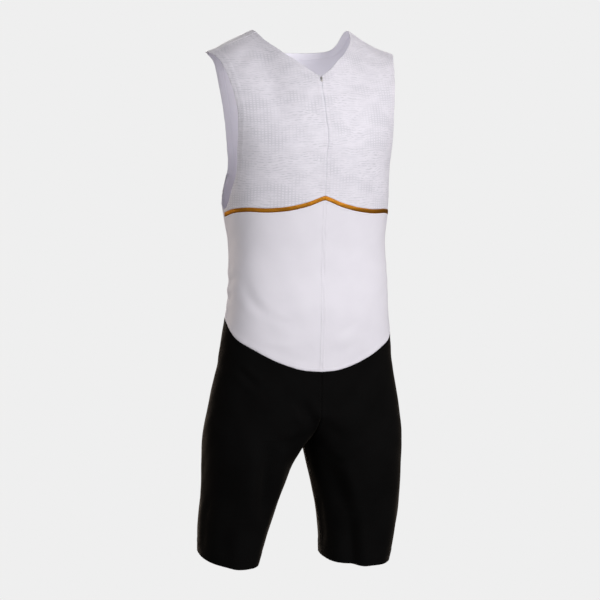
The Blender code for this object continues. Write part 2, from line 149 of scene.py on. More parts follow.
# What a seam's allowance lifts, with how softly it ends, and the dip of the seam itself.
Sewn = namedtuple("Sewn", "band height soft dip_width dip_depth")
SEWN = {
    "waist": Sewn(0.0085, 0.00035, 0.0014, 0.0013, 0.0007),
    "centre": Sewn(0.0036, 0.00042, 0.0016, 0.0012, 0.0002),
    "centre_front": Sewn(0.0060, 0.00030, 0.0014, 0.0018, 0.0014),
    "strip": Sewn(0.0030, 0.00030, 0.0014, 0.0010, 0.0006),
    "strip_edge": Sewn(1.0, 0.00030, 0.0014, 0.0006, 0.0005),
}
PLAIN_SEAM = Sewn(0.0060, 0.00030, 0.0014, 0.0012, 0.0006)
# Distances from a sewn edge at which rows lie close together, for the relief of the seam, and the share
# of a narrow piece that they may take up.
NEAR = np.array([0, 0.4, 0.8, 1.4, 2.0, 3.0, 4.0, 5.0, 6.0, 7.0, 8.5]) / 1000
NEAR_SHARE = 0.45

# Level sections of the torso. The sides lie at y = side, and front and back are the outermost y.
Ring = namedtuple("Ring", "z half_width front back side squareness")
RINGS = (
    Ring(-0.760, 0.182, -0.084, 0.108, 0.021, 2.3),
    Ring(-0.722, 0.182, -0.084, 0.113, 0.019, 2.3),
    Ring(-0.690, 0.180, -0.084, 0.118, 0.016, 2.3),
    Ring(-0.640, 0.173, -0.085, 0.117, 0.012, 2.3),
    Ring(-0.573, 0.159, -0.086, 0.105, 0.005, 2.3),
    Ring(-0.513, 0.151, -0.092, 0.086, -0.003, 2.3),
    Ring(-0.456, 0.1445, -0.095, 0.070, -0.009, 2.3),
    Ring(-0.415, 0.1425, -0.094, 0.067, -0.010, 2.3),
    Ring(-0.350, 0.1405, -0.097, 0.079, -0.001, 2.3),
    Ring(-0.297, 0.1465, -0.103, 0.090, 0.006, 2.3),
    Ring(-0.260, 0.148, -0.106, 0.096, 0.011, 2.4),
    Ring(-0.210, 0.152, -0.111, 0.102, 0.018, 2.4),
    Ring(-0.170, 0.159, -0.112, 0.106, 0.022, 2.5),
    Ring(-0.110, 0.169, -0.112, 0.108, 0.028, 2.7),
    Ring(-0.050, 0.177, -0.112, 0.105, 0.033, 2.8),
    Ring(0.060, 0.180, -0.112, 0.105, 0.036, 2.8),
)

# The ridge of the shoulders, and how round the arch over it is: 1 is a straight slope, 2 an ellipse.
ARCH_FOOT = -0.190
Ridge = namedtuple("Ridge", "angle right left roundness")
RIDGE = (
    Ridge(0, 0.0600, 0.0600, 1.60),
    Ridge(10, 0.0380, 0.0390, 1.55),
    Ridge(21, 0.0160, 0.0172, 1.50),
    Ridge(30, 0.0058, 0.0032, 1.60),
    Ridge(42, -0.0062, -0.0105, 1.80),
    Ridge(54, -0.0166, -0.0184, 2.00),
    Ridge(67, -0.0230, -0.0240, 2.15),
    Ridge(90, -0.0280, -0.0330, 2.20),
)
SHOULDER_SEAM = 0.86

# Where each seam round the body lies, and how far it rises for each metre towards the wearer's right.
Seam = namedtuple("Seam", "angle z")
TRIM_TOP = (
    Seam(0, -0.2690),
    Seam(7, -0.2782),
    Seam(16, -0.2852),
    Seam(33, -0.2912),
    Seam(57, -0.2920),
    Seam(72, -0.2950),
    Seam(90, -0.3030),
)
TRIM_LEAN = 0.022
WAIST = (
    Seam(0, -0.5724),
    Seam(8, -0.5704),
    Seam(16, -0.5648),
    Seam(27, -0.5548),
    Seam(45, -0.5364),
    Seam(67, -0.5180),
    Seam(90, -0.4930),
    Seam(135, -0.4770),
    Seam(180, -0.4730),
)
WAIST_LEAN = 0.02

# The neck's edge, from its lowest point to the ridge.
Edge = namedtuple("Edge", "x z")
NECK_FRONT = (
    Edge(0.0000, -0.0660),
    Edge(0.0231, -0.0520),
    Edge(0.0397, -0.0375),
    Edge(0.0560, -0.0250),
    Edge(0.0796, -0.0005),
)
NECK_BACK = (
    Edge(0.0000, -0.0222),
    Edge(0.0300, -0.0218),
    Edge(0.0550, -0.0200),
    Edge(0.0670, -0.0165),
    Edge(0.0745, -0.0090),
    Edge(0.0795, 0.0015),
)
NECK_RIDGE_X = 0.0887

# How far the armhole reaches round the front and the back at each level, from the armpit up.
Armhole = namedtuple("Armhole", "level front back")
ARMHOLE = (
    Armhole(-0.105, 90.0, 90.0),
    Armhole(-0.096, 82.5, 78.5),
    Armhole(-0.070, 74.5, 62.5),
    Armhole(-0.020, 63.5, 49.0),
    Armhole(0.120, 57.0, 44.5),
    Armhole(0.310, 53.0, 44.0),
    Armhole(0.630, 56.5, 51.0),
    Armhole(0.820, 64.0, 63.0),
    Armhole(1.000, 71.5, 71.5),
)

# Level sections of each leg: centre is its axis' distance from the middle, and middle is the axis' y.
Leg = namedtuple("Leg", "z centre half_width middle half_depth")
RIGHT_LEG = (
    Leg(-0.930, 0.1345, 0.0498, 0.045, 0.0725),
    Leg(-0.855, 0.1232, 0.0613, 0.039, 0.0790),
    Leg(-0.806, 0.1145, 0.0667, 0.033, 0.0855),
    Leg(-0.774, 0.1085, 0.0721, 0.029, 0.0900),
    Leg(-0.740, 0.1042, 0.0770, 0.024, 0.0950),
    Leg(-0.645, 0.0900, 0.0900, 0.016, 0.1010),
)
LEFT_LEG = (
    Leg(-0.940, 0.1012, 0.0595, 0.036, 0.0745),
    Leg(-0.855, 0.1068, 0.0712, 0.032, 0.0810),
    Leg(-0.806, 0.1036, 0.0776, 0.029, 0.0865),
    Leg(-0.774, 0.1000, 0.0816, 0.026, 0.0905),
    Leg(-0.740, 0.0958, 0.0846, 0.022, 0.0950),
    Leg(-0.645, 0.0900, 0.0900, 0.016, 0.1010),
)
LEG_SQUARENESS = 2.15
# A hem's middle height, and how far it rises for each metre outwards and backwards.
Hem = namedtuple("Hem", "z outwards backwards")
RIGHT_HEM = Hem(-0.9155, 0.130, 0.10)
LEFT_HEM = Hem(-0.9275, -0.065, 0.05)

# The crotch seam is the lower half of an oval in the middle plane.
CROTCH_TOP = -0.650
CROTCH_DEPTH = 0.0605
CROTCH_MIDDLE = 0.0165
CROTCH_HALF_LENGTH = 0.1010
CROTCH_SQUARENESS = 1.4
SPLIT_Z = -0.740
SPLIT_FADE = 14
# How much of a leg's round, from its inner seam, is drawn to the crotch, and how fast that fades.
INNER_SHARE = 0.3
INNER_FADE = 3

# Folds as each view shows them, in millimetres: each runs past three places, and its ends fade out.
# Across is x from the front or back and y from either side. A negative depth is a ridge.
Crease = namedtuple("Crease", "across_1 z_1 across_2 z_2 across_3 z_3 width depth")
CREASES = {
    "front": (
        # The large folds of the legs. The solids have them too, some of them shallower.
        (20, -735, 43, -783, 62, -840, 12, 11),
        (62, -820, 71, -900, 74, -990, 12, 10),
        (-88, -690, -90, -765, -83, -850, 14, 11),
        (-150, -640, -156, -790, -150, -990, 15, 3.6),
        # The shorts.
        (-140, -562, -127, -580, -108, -598, 6, 2.6),
        (-36, -620, -20, -652, -3, -672, 9, 5.6),
        (6, -655, 24, -678, 50, -690, 8, 2.2),
        (-30, -668, -48, -680, -74, -684, 9, -2.2),
        (6, -700, 26, -727, 56, -745, 7, 2.4),
        (104, -640, 112, -720, 106, -800, 14, 1.2),
        (-132, -830, -138, -890, -141, -980, 14, -4),
        (128, -790, 124, -860, 116, -960, 10, 1.6),
        # The torso.
        (-131, -408, -119, -447, -94, -471, 7.5, 1.4),
        (-96, -468, -76, -482, -52, -488, 6, 0.4),
        (-98, -506, -70, -514, -40, -512, 6, 0.3),
        (-104, -524, -78, -534, -52, -537, 6, 0.3),
        (-64, -542, -40, -551, -16, -552, 6, 0.3),
        (20, -508, 44, -500, 66, -484, 6.5, 0.5),
        (22, -540, 46, -534, 70, -520, 6.5, 0.4),
        (106, -462, 120, -446, 131, -424, 7, 0.9),
        (90, -380, 105, -392, 130, -395, 8, 0.4),
        (-90, -232, -60, -240, -25, -236, 9, 0.3),
        (20, -222, 60, -232, 95, -226, 9, 0.3),
        (124, -245, 109, -225, 80, -212, 8, 0.7),
        (-124, -243, -108, -226, -82, -216, 8, 0.8),
        (8, -86, 22, -104, 25, -132, 6, 0.6),
        (-8, -88, -20, -108, -23, -134, 6, 0.6),
        (30, -70, 56, -83, 86, -86, 8.5, 0.6),
        (-36, -66, -64, -78, -92, -80, 8.5, 0.6),
        (92, -18, 115, -34, 134, -60, 8, 1.3),
        (-98, -20, -122, -34, -142, -58, 8, 1.3),
    ),
    "back": (
        # The large folds of the legs. The solids have them too, some of them shallower.
        (20, -757, 70, -747, 126, -718, 15, 4.6),
        (-22, -762, -68, -744, -122, -712, 16, 4.2),
        (100, -790, 90, -860, 74, -980, 15, 3.6),
        (-112, -780, -132, -850, -150, -980, 15, 4),
        # Small of the back, shoulder blades and shoulders.
        (-110, -396, -62, -410, -12, -405, 8, 2),
        (10, -419, 56, -428, 102, -417, 7.5, 1.8),
        (-92, -444, -48, -452, -6, -449, 6.5, 1.3),
        (38, -391, 76, -383, 115, -366, 7.5, 1.4),
        (-126, -347, -90, -366, -52, -371, 8, 1.2),
        (108, -262, 80, -226, 48, -200, 10, 1.2),
        (-109, -256, -83, -222, -54, -190, 10, 1.3),
        (-6, -120, 0, -200, 4, -290, 16, 1.6),
        (70, -50, 96, -68, 114, -96, 8, 1.2),
        (-72, -54, -95, -70, -112, -100, 8, 1.1),
        # Seat and thighs.
        (-30, -500, -60, -522, -100, -532, 8, 1),
        (26, -506, 64, -520, 104, -524, 8, 0.9),
        (-6, -620, -2, -680, -3, -735, 12, 3),
        (30, -772, 70, -775, 110, -757, 7.5, 1.7),
        (-36, -778, -74, -770, -116, -746, 7.5, 1.8),
        (56, -806, 62, -850, 58, -900, 9, 1.3),
        (-88, -800, -98, -850, -108, -900, 9, 1.3),
    ),
    "left": (
        # The waist, the hips and the outside of the thigh.
        (-45, -398, -10, -414, 30, -409, 7.5, 1.6),
        (-30, -436, 4, -444, 38, -436, 6.5, 1.2),
        (-40, -542, 0, -566, 40, -561, 9, 1),
        (-30, -800, -10, -850, 0, -910, 11, 1.4),
        (50, -700, 62, -770, 60, -850, 12, 1.3),
    ),
    "right": (
        # The waist, the hips and the outside of the thigh.
        (-42, -400, -8, -419, 32, -411, 7.5, 1.6),
        (-28, -443, 6, -449, 42, -440, 6.5, 1.2),
        (-38, -548, 4, -568, 44, -560, 9, 1),
        (0, -790, 16, -850, 22, -910, 11, 1.4),
        (56, -690, 66, -760, 64, -840, 12, 1.3),
    ),
}
CREASE_STEPS = 40
# A fold's ends fade as this power of a sine, and soft swells rise on both of its sides.
CREASE_FADE = 0.7
SWELL_AT = 2.0
SWELL_WIDTH = 0.85
SWELL_SHARE = 0.32
# The axis that runs across each view, and the way a surface seen in it faces.
View = namedtuple("View", "axis facing")
VIEWS = {
    "front": View(0, (0, -1, 0)),
    "back": View(0, (0, 1, 0)),
    "left": View(1, (1, 0, 0)),
    "right": View(1, (-1, 0, 0)),
}
RIPPLES = 7
RIPPLE_HEIGHT = 0.00014
RIPPLE_LENGTHS = (0.028, 0.085)
PUCKERS = 5
PUCKER_HEIGHT = 0.00010
PUCKER_LENGTHS = (0.006, 0.013)
PUCKER_REACH = 0.0045


def smooth(rows, column, at):
    """The value of a table's column at a place between its rows, on a smooth curve through them."""
    places = np.array([row[0] for row in rows])
    values = np.array([getattr(row, column) for row in rows])
    slopes = np.gradient(values, places)
    at = np.clip(at, places[0], places[-1])
    left = np.clip(np.searchsorted(places, at, side="right") - 1, 0, len(places) - 2)
    step = places[left + 1] - places[left]
    t = (at - places[left]) / step
    from_values = (1 + 2 * t) * (1 - t) ** 2 * values[left] + t**2 * (3 - 2 * t) * values[left + 1]
    from_slopes = t * (1 - t) ** 2 * slopes[left] + t**2 * (t - 1) * slopes[left + 1]
    return from_values + from_slopes * step


def ease(t):
    t = np.clip(t, 0, 1)
    return t * t * (3 - 2 * t)


def unit(vectors):
    return vectors / np.maximum(np.linalg.norm(vectors, axis=-1, keepdims=True), 1e-12)


def lengths_along(points):
    """How far each point is along the line through them all."""
    return np.r_[0, np.cumsum(np.linalg.norm(np.diff(points, axis=0), axis=1))]


def sampled(at, lengths, rows):
    """The rows that belong to these lengths along a line."""
    return np.stack([np.interp(at, lengths, column) for column in rows.T], axis=-1)


# ---- The form: places on the torso and the legs ----


def oval(angle, squareness):
    """Sine and cosine of an angle on a superellipse."""
    sine, cosine = np.sin(angle), np.cos(angle)
    power = 2 / squareness
    return np.sign(sine) * np.abs(sine) ** power, np.sign(cosine) * np.abs(cosine) ** power


def ridge_z(side, from_middle):
    return smooth(RIDGE, "left" if side > 0 else "right", from_middle)


def torso(side, angle, level):
    """Points of the outer surface at these places, on the wearer's left (side 1) or right (-1)."""
    angle, level = np.broadcast_arrays(np.asarray(angle, float), np.asarray(level, float))
    angle = np.where(level > 1, 180 - angle, angle)
    level = np.where(level > 1, 2 - level, level)
    from_middle = np.minimum(angle, 180 - angle)
    rise = ridge_z(side, from_middle) - ARCH_FOOT
    up, reach = oval(radians(90) * np.clip(level, 0, 1), smooth(RIDGE, "roundness", from_middle))
    z = np.where(level > 0, ARCH_FOOT + rise * up, ARCH_FOOT + level)
    across, along = oval(np.radians(angle), smooth(RINGS, "squareness", z))
    seam = smooth(RINGS, "side", z)
    outermost = np.where(angle < 90, smooth(RINGS, "front", z), smooth(RINGS, "back", z))
    x = side * smooth(RINGS, "half_width", z) * across
    y = seam + (outermost - seam) * reach * np.abs(along)
    return np.stack([x, y, z], axis=-1)


def level_at(side, angle, z):
    """The level of a place on the torso that is given by its angle and height."""
    from_middle = np.minimum(angle, 180 - angle)
    rise = ridge_z(side, from_middle) - ARCH_FOOT
    ratio = np.clip((z - ARCH_FOOT) / rise, 0, 1)
    arch = np.arcsin(ratio ** (smooth(RIDGE, "roundness", from_middle) / 2)) / radians(90)
    return np.where(z > ARCH_FOOT, arch, z - ARCH_FOOT)


def angle_at(x, z):
    """The angle from the middle of a place on the torso that is given by its x and height."""
    ratio = x / smooth(RINGS, "half_width", z)
    return np.degrees(np.arcsin(ratio ** (smooth(RINGS, "squareness", z) / 2)))


def curved(places, steps=12):
    """Close places on a smooth curve through a few places."""
    Place = namedtuple("Place", "step angle level")
    rows = [Place(float(i), *place) for i, place in enumerate(places)]
    at = np.linspace(0, len(rows) - 1, steps * (len(rows) - 1) + 1)
    return np.stack([smooth(rows, "angle", at), smooth(rows, "level", at)], axis=-1)


def upright(angle, low, high):
    """Places straight up the body at one angle."""
    levels = np.linspace(low, high, PATH_STEPS)
    return np.stack([np.full_like(levels, angle), levels], axis=-1)


def neck_line(side, back=False):
    """Places along the neck's edge on one side, from its lowest point up to the ridge."""
    rows = NECK_BACK if back else NECK_FRONT
    angles = [angle_at(row.x, row.z) for row in rows]
    levels = [level_at(side, angle, row.z) for angle, row in zip(angles, rows)]
    places = list(zip(angles, levels)) + [(angle_at(NECK_RIDGE_X, 0.0), 1.0)]
    return curved(places)


def armhole_line(back=False):
    """Places along the armhole's edge from the armpit up to the ridge, as angles from the middle."""
    return curved([(row.back if back else row.front, row.level) for row in ARMHOLE])


def up_to(path, level):
    """The part of a rising path of places that lies below a level."""
    angle = np.interp(level, path[:, 1], path[:, 0])
    return np.vstack([path[path[:, 1] < level - 1e-6], [[angle, level]]])


def from_behind(path):
    """The same places on the other side of the body: front ones come over the ridge."""
    return np.stack([180 - path[:, 0], path[:, 1]], axis=-1)


def over_ridge(path):
    """Places of the front as the back piece counts them, from the ridge down."""
    return np.stack([180 - path[:, 0], 2 - path[:, 1]], axis=-1)[::-1]


def beyond(path):
    """The front stretch between the ridge and the shoulder seam, from the ridge down."""
    above = path[path[:, 1] > SHOULDER_SEAM + 1e-6][:-1]
    return over_ridge(np.vstack([up_to(path, SHOULDER_SEAM)[-1:], above]))


def shoulder_seam(neck, armhole):
    angles = np.linspace(neck[-1, 0], armhole[-1, 0], PATH_STEPS)
    return np.stack([angles, np.full_like(angles, SHOULDER_SEAM)], axis=-1)


def spread(side, path, count):
    """Places at even real distances along a path, one more than count."""
    lengths = lengths_along(torso(side, path[:, 0], path[:, 1]))
    return sampled(np.linspace(0, lengths[-1], count + 1), lengths, path)


def seam_round(side, table, lean, start=0, drop=0.0):
    """Places at even distances along a seam round the body, from centre front or back to the side."""
    angle = np.linspace(start, 90, 3 * PATH_STEPS)
    z = smooth(table, "z", angle) - drop
    z = z - lean * torso(side, angle, level_at(side, angle, z))[:, 0]
    return spread(side, np.stack([angle, level_at(side, angle, z)], axis=-1), COLUMNS)


def joined(side, stretches):
    """Places along an edge of several stretches, each a path and its count of rows."""
    parts = [spread(side, path, count) for path, count in stretches]
    return np.vstack([parts[0]] + [part[1:] for part in parts[1:]])


def filled(bottom, top, inner, outer):
    """A grid of places, row by row, between four edges that meet at their ends."""
    u = np.linspace(0, 1, len(bottom))[None, :, None]
    v = np.linspace(0, 1, len(inner))[:, None, None]
    from_corners = (1 - v) * ((1 - u) * bottom[0] + u * bottom[-1]) + v * ((1 - u) * top[0] + u * top[-1])
    return (1 - v) * bottom + v * top + (1 - u) * inner[:, None] + u * outer[:, None] - from_corners


def leg_ring(side, table, z, turn):
    """Points of a leg's level section: turn runs from 0, the inner side, over the front to 1."""
    along, across = oval(2 * pi * turn, LEG_SQUARENESS)
    x = smooth(table, "centre", z) - smooth(table, "half_width", z) * across
    y = smooth(table, "middle", z) - smooth(table, "half_depth", z) * along
    return np.stack([side * x, y, np.full_like(x, z)], axis=-1)


def crotch_point(t, back):
    """A point of the crotch seam: t runs from 0, at centre front or back, to 1 at its lowest point."""
    down, along = oval(radians(90) * t, CROTCH_SQUARENESS)
    reach = CROTCH_HALF_LENGTH * along * (1 if back else -1)
    return np.array([0.0, CROTCH_MIDDLE + reach, CROTCH_TOP - CROTCH_DEPTH * down])


def leg_rows(side):
    """One side of the shorts, row by row from the waist down, each row from inner front to inner back."""
    table, hem = (LEFT_LEG, LEFT_HEM) if side > 0 else (RIGHT_LEG, RIGHT_HEM)
    front = seam_round(side, WAIST, WAIST_LEAN)
    back = seam_round(side, WAIST, WAIST_LEAN, 180)[::-1]
    waist = np.vstack([front, back[1:]])
    turn = np.linspace(0, 1, len(waist))
    near_front = np.clip(1 - turn / INNER_SHARE, 0, 1) ** INNER_FADE
    near_back = near_front[::-1]
    rows = []
    for t in np.linspace(0, 1, HIP_ROWS + 1):
        rows.append(torso(side, waist[:, 0], (1 - t) * waist[:, 1] + t * (CROTCH_TOP - ARCH_FOOT)))
    for t in np.linspace(0, 1, CROTCH_ROWS + 1)[1:]:
        z = (1 - t) * CROTCH_TOP + t * SPLIT_Z
        hips = torso(side, waist[:, 0], z - ARCH_FOOT)
        ring = (1 - ease(t)) * hips + ease(t) * leg_ring(side, table, z, turn)
        to_front = crotch_point(t, back=False) - ring[0]
        to_back = crotch_point(t, back=True) - ring[-1]
        rows.append(ring + near_front[:, None] * to_front + near_back[:, None] * to_back)
    lift = rows[-1][0] - leg_ring(side, table, SPLIT_Z, turn)[0]
    for t in np.linspace(0, 1, LEG_ROWS + 1)[1:]:
        z = (1 - t) * SPLIT_Z + t * hem.z
        ring = leg_ring(side, table, z, turn)
        outwards = side * ring[:, 0] - smooth(table, "centre", z)
        backwards = ring[:, 1] - smooth(table, "middle", z)
        ring[:, 2] += t * (hem.outwards * outwards + hem.backwards * backwards)
        rows.append(ring + (near_front + near_back)[:, None] * lift * (1 - t) ** SPLIT_FADE)
    return np.array(rows)


# ---- The panels: fine grids with rows close together at their seams ----


def respaced(grid, stops):
    """A grid whose rows lie at NEAR's distances from both ends and evenly in between. The rows at the
    stops stay, and the second value gives their new places."""
    blocks, places = [], [0]
    for first, last in zip(stops, stops[1:]):
        block = grid[first : last + 1]
        steps = np.linalg.norm(np.diff(block[..., :3], axis=0), axis=-1)
        along = np.vstack([np.zeros(steps.shape[1]), np.cumsum(steps, axis=0)])
        total = along[-1]
        squeeze = np.minimum(1, NEAR_SHARE * total / NEAR[-1])
        start = (NEAR if first == stops[0] else NEAR[:1])[:, None] * squeeze
        end = (NEAR if last == stops[-1] else NEAR[:1])[:, None] * squeeze
        t = np.linspace(0, 1, last - first + 1)[1:-1, None]
        middle = (1 - t) * start[-1] + t * (total - end[-1])
        at = np.vstack([start, middle, (total - end)[::-1]])
        new = np.empty((len(at), *block.shape[1:]))
        for column in range(block.shape[1]):
            for channel in range(block.shape[2]):
                values = block[:, column, channel]
                new[:, column, channel] = np.interp(at[:, column], along[:, column], values)
        blocks.append(new[1:] if blocks else new)
        places.append(places[-1] + len(at) - 1)
    return np.concatenate(blocks), places


def fine(grid, stops):
    """A grid respaced both ways, and the new places of its stops."""
    grid, places = respaced(grid, stops)
    across, _ = respaced(grid.swapaxes(0, 1), (0, grid.shape[1] - 1))
    return across.swapaxes(0, 1), places


def inset(points, distance=SEAM_GAP / 2):
    """Draws a grid's four edges in, so that pieces stay apart at their seams."""
    points = points.copy()
    for edge, beside in ((0, 1), (-1, -2)):
        step = points[beside] - points[edge]
        points[edge] += distance * unit(step)
        step = points[:, beside] - points[:, edge]
        points[:, edge] += distance * unit(step)
    return points


def normals_of(points, outwards):
    across = np.gradient(points, axis=1)
    up = np.gradient(points, axis=0)
    return outwards * unit(np.cross(across, up))


def arc(side, from_angle, from_level, angle, level, steps=24):
    """How long the way over the torso is from one place to another, straight in angle and level."""
    t = np.linspace(0, 1, steps)[:, None, None]
    points = torso(side, (1 - t) * from_angle + t * angle, (1 - t) * from_level + t * level)
    return np.linalg.norm(np.diff(points, axis=0), axis=-1).sum(axis=0)


def laid_flat(points):
    """Each point's place on the flat cloth: how far it is along its row and along its column."""
    across = np.linalg.norm(np.diff(points, axis=1), axis=-1)
    up = np.linalg.norm(np.diff(points, axis=0), axis=-1)
    u = np.pad(np.cumsum(across, axis=1), ((0, 0), (1, 0)))
    v = np.pad(np.cumsum(up, axis=0), ((1, 0), (0, 0)))
    return np.stack([u, v], axis=-1)


class Panel:
    """One grid of cloth: its outer points, its normals, its place on the flat cloth and its edges."""

    def __init__(self, points, outwards, flat=None):
        self.points = points
        self.outwards = outwards
        self.normals = normals_of(points, outwards)
        self.flat = laid_flat(points) if flat is None else flat
        self.seams = {}

    def edge(self, name, where, first=0, last=None, sewn=True):
        """Names a stretch of an edge. A sewn one meets other cloth, and any other is turned under."""
        grid = self.side_of(self.points, where)[0, first:last]
        self.seams[name] = (where, first, last, sewn, grid.copy())

    def side_of(self, grid, where):
        """The grid seen so that its first row is the edge that is named."""
        turned = grid if where in ("first", "last") else grid.swapaxes(0, 1)
        return turned if where in ("first", "inner") else turned[::-1]

    def distance(self, name):
        """How far each point of the unpressed grid is from an edge."""
        curve = refined(self.seams[name][4])
        tree = KDTree(len(curve))
        for index, point in enumerate(curve):
            tree.insert(point, index)
        tree.balance()
        flat_points = self.base.reshape(-1, 3)
        found = [tree.find(point)[2] for point in flat_points]
        return np.array(found).reshape(self.base.shape[:2])

    def pressed(self):
        """Presses folds, ripples, seams and turned edges into the cloth."""
        self.base = self.points
        push = crease_push(self.base, self.normals) + ripple(self.base)
        nearest = np.full(self.base.shape[:2], 1.0)
        for name, (_, _, _, sewn, _) in self.seams.items():
            distance = self.distance(name)
            relief = sewn_relief(name, distance) if sewn else turned_relief(name, distance)
            if name in FADES:
                relief = relief * faded(self.base[..., 2], FADES[name])
            push = push + relief
            nearest = np.minimum(nearest, distance)
        push = push + pucker(self.base) * np.exp(-((nearest / PUCKER_REACH) ** 2))
        self.points = waved(self.base + push[..., None] * self.normals)
        return self


def refined(curve, step=0.0004):
    """A curve's points at close even distances."""
    lengths = lengths_along(curve)
    return sampled(np.linspace(0, lengths[-1], max(2, int(lengths[-1] / step))), lengths, curve)


# ---- Folds and relief ----


def crease_push(points, normals):
    """How far each fold moves each point along its normal."""
    push = np.zeros(points.shape[:2])
    t = np.linspace(0, 1, CREASE_STEPS)[:, None]
    for name, row in [(name, row) for name, rows in CREASES.items() for row in rows]:
        crease = Crease(*np.array(row) / 1000)
        view = VIEWS[name]
        facing = np.clip(normals @ np.array(view.facing, float), 0, 1)
        first, middle, last = np.array(crease[:6]).reshape(3, 2)
        pull = 2 * middle - (first + last) / 2
        path = (1 - t) ** 2 * first + 2 * t * (1 - t) * pull + t**2 * last
        seen = points[..., [view.axis, 2]]
        reach = 4 * crease.width
        inside = (seen > path.min(axis=0) - reach).all(-1) & (seen < path.max(axis=0) + reach).all(-1)
        inside &= facing > 0
        if not inside.any():
            continue
        offset = np.linalg.norm(seen[inside][:, None] - path, axis=-1)
        nearest = offset.argmin(axis=1)
        away = offset[np.arange(len(nearest)), nearest] / crease.width
        fade = np.sin(pi * np.clip(nearest / (CREASE_STEPS - 1), 0.001, 0.999)) ** CREASE_FADE
        profile = SWELL_SHARE * np.exp(-(((away - SWELL_AT) / SWELL_WIDTH) ** 2)) - np.exp(-(away**2))
        push[inside] += crease.depth * facing[inside] * fade * profile
    return push


def waves(points, count, height, lengths, seed):
    """An uneven field of soft waves in space."""
    random = np.random.default_rng(seed)
    field = np.zeros(points.shape[:-1])
    for _ in range(count):
        direction = unit(random.normal(size=3))
        length = random.uniform(*lengths)
        phase = random.uniform(0, 2 * pi)
        field += height * np.sin(points @ direction * (2 * pi / length) + phase)
    return field


def ripple(points):
    return waves(points, RIPPLES, RIPPLE_HEIGHT, RIPPLE_LENGTHS, seed=11)


def pucker(points):
    return waves(points, PUCKERS, PUCKER_HEIGHT, PUCKER_LENGTHS, seed=5)


def waved(points):
    """Sets the zip's seam slightly off its straight line, as a soft zip lies."""
    z = points[..., 2]
    top, foot = NECK_FRONT[0].z - ZIP_STILL_DROP, TRIM_TOP[0].z
    along = (top - z) / (top - foot)
    fade = ease(along / ZIP_STILL_TOP) * ease((1 - along) / ZIP_STILL_FOOT)
    sway = ZIP_BOW * fade * np.exp(-(((z - ZIP_BOW_Z) / ZIP_BOW_SPAN) ** 2))
    for share, length, shift in ZIP_WAVES:
        sway += share * ZIP_WAVE * fade * np.sin(2 * pi * z / length + shift)
    near = np.exp(-((points[..., 0] / ZIP_PULL_WIDTH) ** 2)) * (points[..., 1] < 0)
    moved = points.copy()
    moved[..., 0] += sway * near
    return moved


def groove(distance, at, width, depth):
    return -depth * np.exp(-(((distance - at) / width) ** 2))


def raised(distance, width, height, soft=0.0014):
    """A band along an edge, as where a seam's allowance lies under the cloth."""
    return height * ease((width - distance) / soft + 0.5)


def faded(z, fade):
    """The share of a seam's relief that is left at a height."""
    return fade.share + (1 - fade.share) * ease((z - fade.z) / fade.rise)


def sewn_relief(name, distance):
    """The dip where two pieces are sewn together, and what its allowance lifts."""
    seam = SEWN.get(name, PLAIN_SEAM)
    relief = raised(distance, seam.band, seam.height, seam.soft)
    relief = relief + groove(distance, 0, seam.dip_width, seam.dip_depth)
    if name == "waist":
        relief = relief + groove(distance, WAIST_STITCH, STITCH_DIP_WIDTH, STITCH_DIP)
    return relief


def turned_relief(name, distance):
    """A folded edge, rounded over, with the dip of its stitches and the step where it ends."""
    inside = np.clip(HEM_RADIUS - distance, 0, HEM_RADIUS)
    rounding = -(HEM_RADIUS - np.sqrt(HEM_RADIUS**2 - inside**2))
    if name == "zip":
        dip = groove(distance, 0, ZIP_DIP_WIDTH, ZIP_DIP)
        return rounding + dip + groove(distance, ZIP_STITCH, STITCH_DIP_WIDTH, ZIP_STITCH_DIP)
    width, stitch = (LEG_HEM, sum(HEM_STITCHES) / 2) if name == "hem" else (NECK_HEM, NECK_STITCH)
    dip = groove(distance, stitch, HEM_DIP_WIDTH, STITCH_DIP)
    return rounding + raised(distance, width, HEM_STEP) + dip


# ---- Pieces of the suit ----


def yoke(side):
    bottom = seam_round(side, TRIM_TOP, TRIM_LEAN)
    neck = up_to(neck_line(side), SHOULDER_SEAM)
    armhole = up_to(armhole_line(), SHOULDER_SEAM)
    top = spread(side, shoulder_seam(neck, armhole), COLUMNS)
    zip_seam = upright(0, bottom[0, 1], neck[0, 1])
    side_seam = upright(90, bottom[-1, 1], armhole[0, 1])
    inner = joined(side, [(zip_seam, ZIP_SEAM_ROWS), (neck, NECK_ROWS)])
    outer = joined(side, [(side_seam, ARMPIT_ROWS), (armhole, len(inner) - 1 - ARMPIT_ROWS)])
    places = filled(bottom, top, inner, outer)
    angle, level = places[..., 0], places[..., 1]
    across = side * arc(side, 0 * angle, level, angle, level)
    up = arc(side, angle, 0 * level + ARMHOLE[0].level, angle, level)
    grid = np.concatenate([torso(side, angle, level), across[..., None], up[..., None]], axis=-1)
    grid, stops = fine(grid, (0, ARMPIT_ROWS, ZIP_SEAM_ROWS, len(inner) - 1))
    panel = Panel(inset(grid[..., :3]), side, grid[..., 3:])
    panel.edge("strip", "first")
    panel.edge("zip", "inner", 0, stops[2] + 1, sewn=False)
    panel.edge("neck", "inner", stops[2], None, sewn=False)
    panel.edge("shoulder", "last")
    panel.edge("side", "outer", 0, stops[1] + 1)
    panel.edge("armhole", "outer", stops[1], None, sewn=False)
    return panel.pressed()


def trim(side):
    bottom = seam_round(side, TRIM_TOP, TRIM_LEAN, drop=TRIM_HEIGHT)
    top = seam_round(side, TRIM_TOP, TRIM_LEAN)
    t = np.linspace(0, 1, TRIM_ROWS + 1)[:, None, None]
    places = (1 - t) * bottom + t * top
    grid, _ = fine(torso(side, places[..., 0], places[..., 1]), (0, TRIM_ROWS))
    panel = Panel(inset(grid), side)
    panel.edge("strip_edge", "first")
    panel.edge("strip_top", "last")
    return panel.pressed()


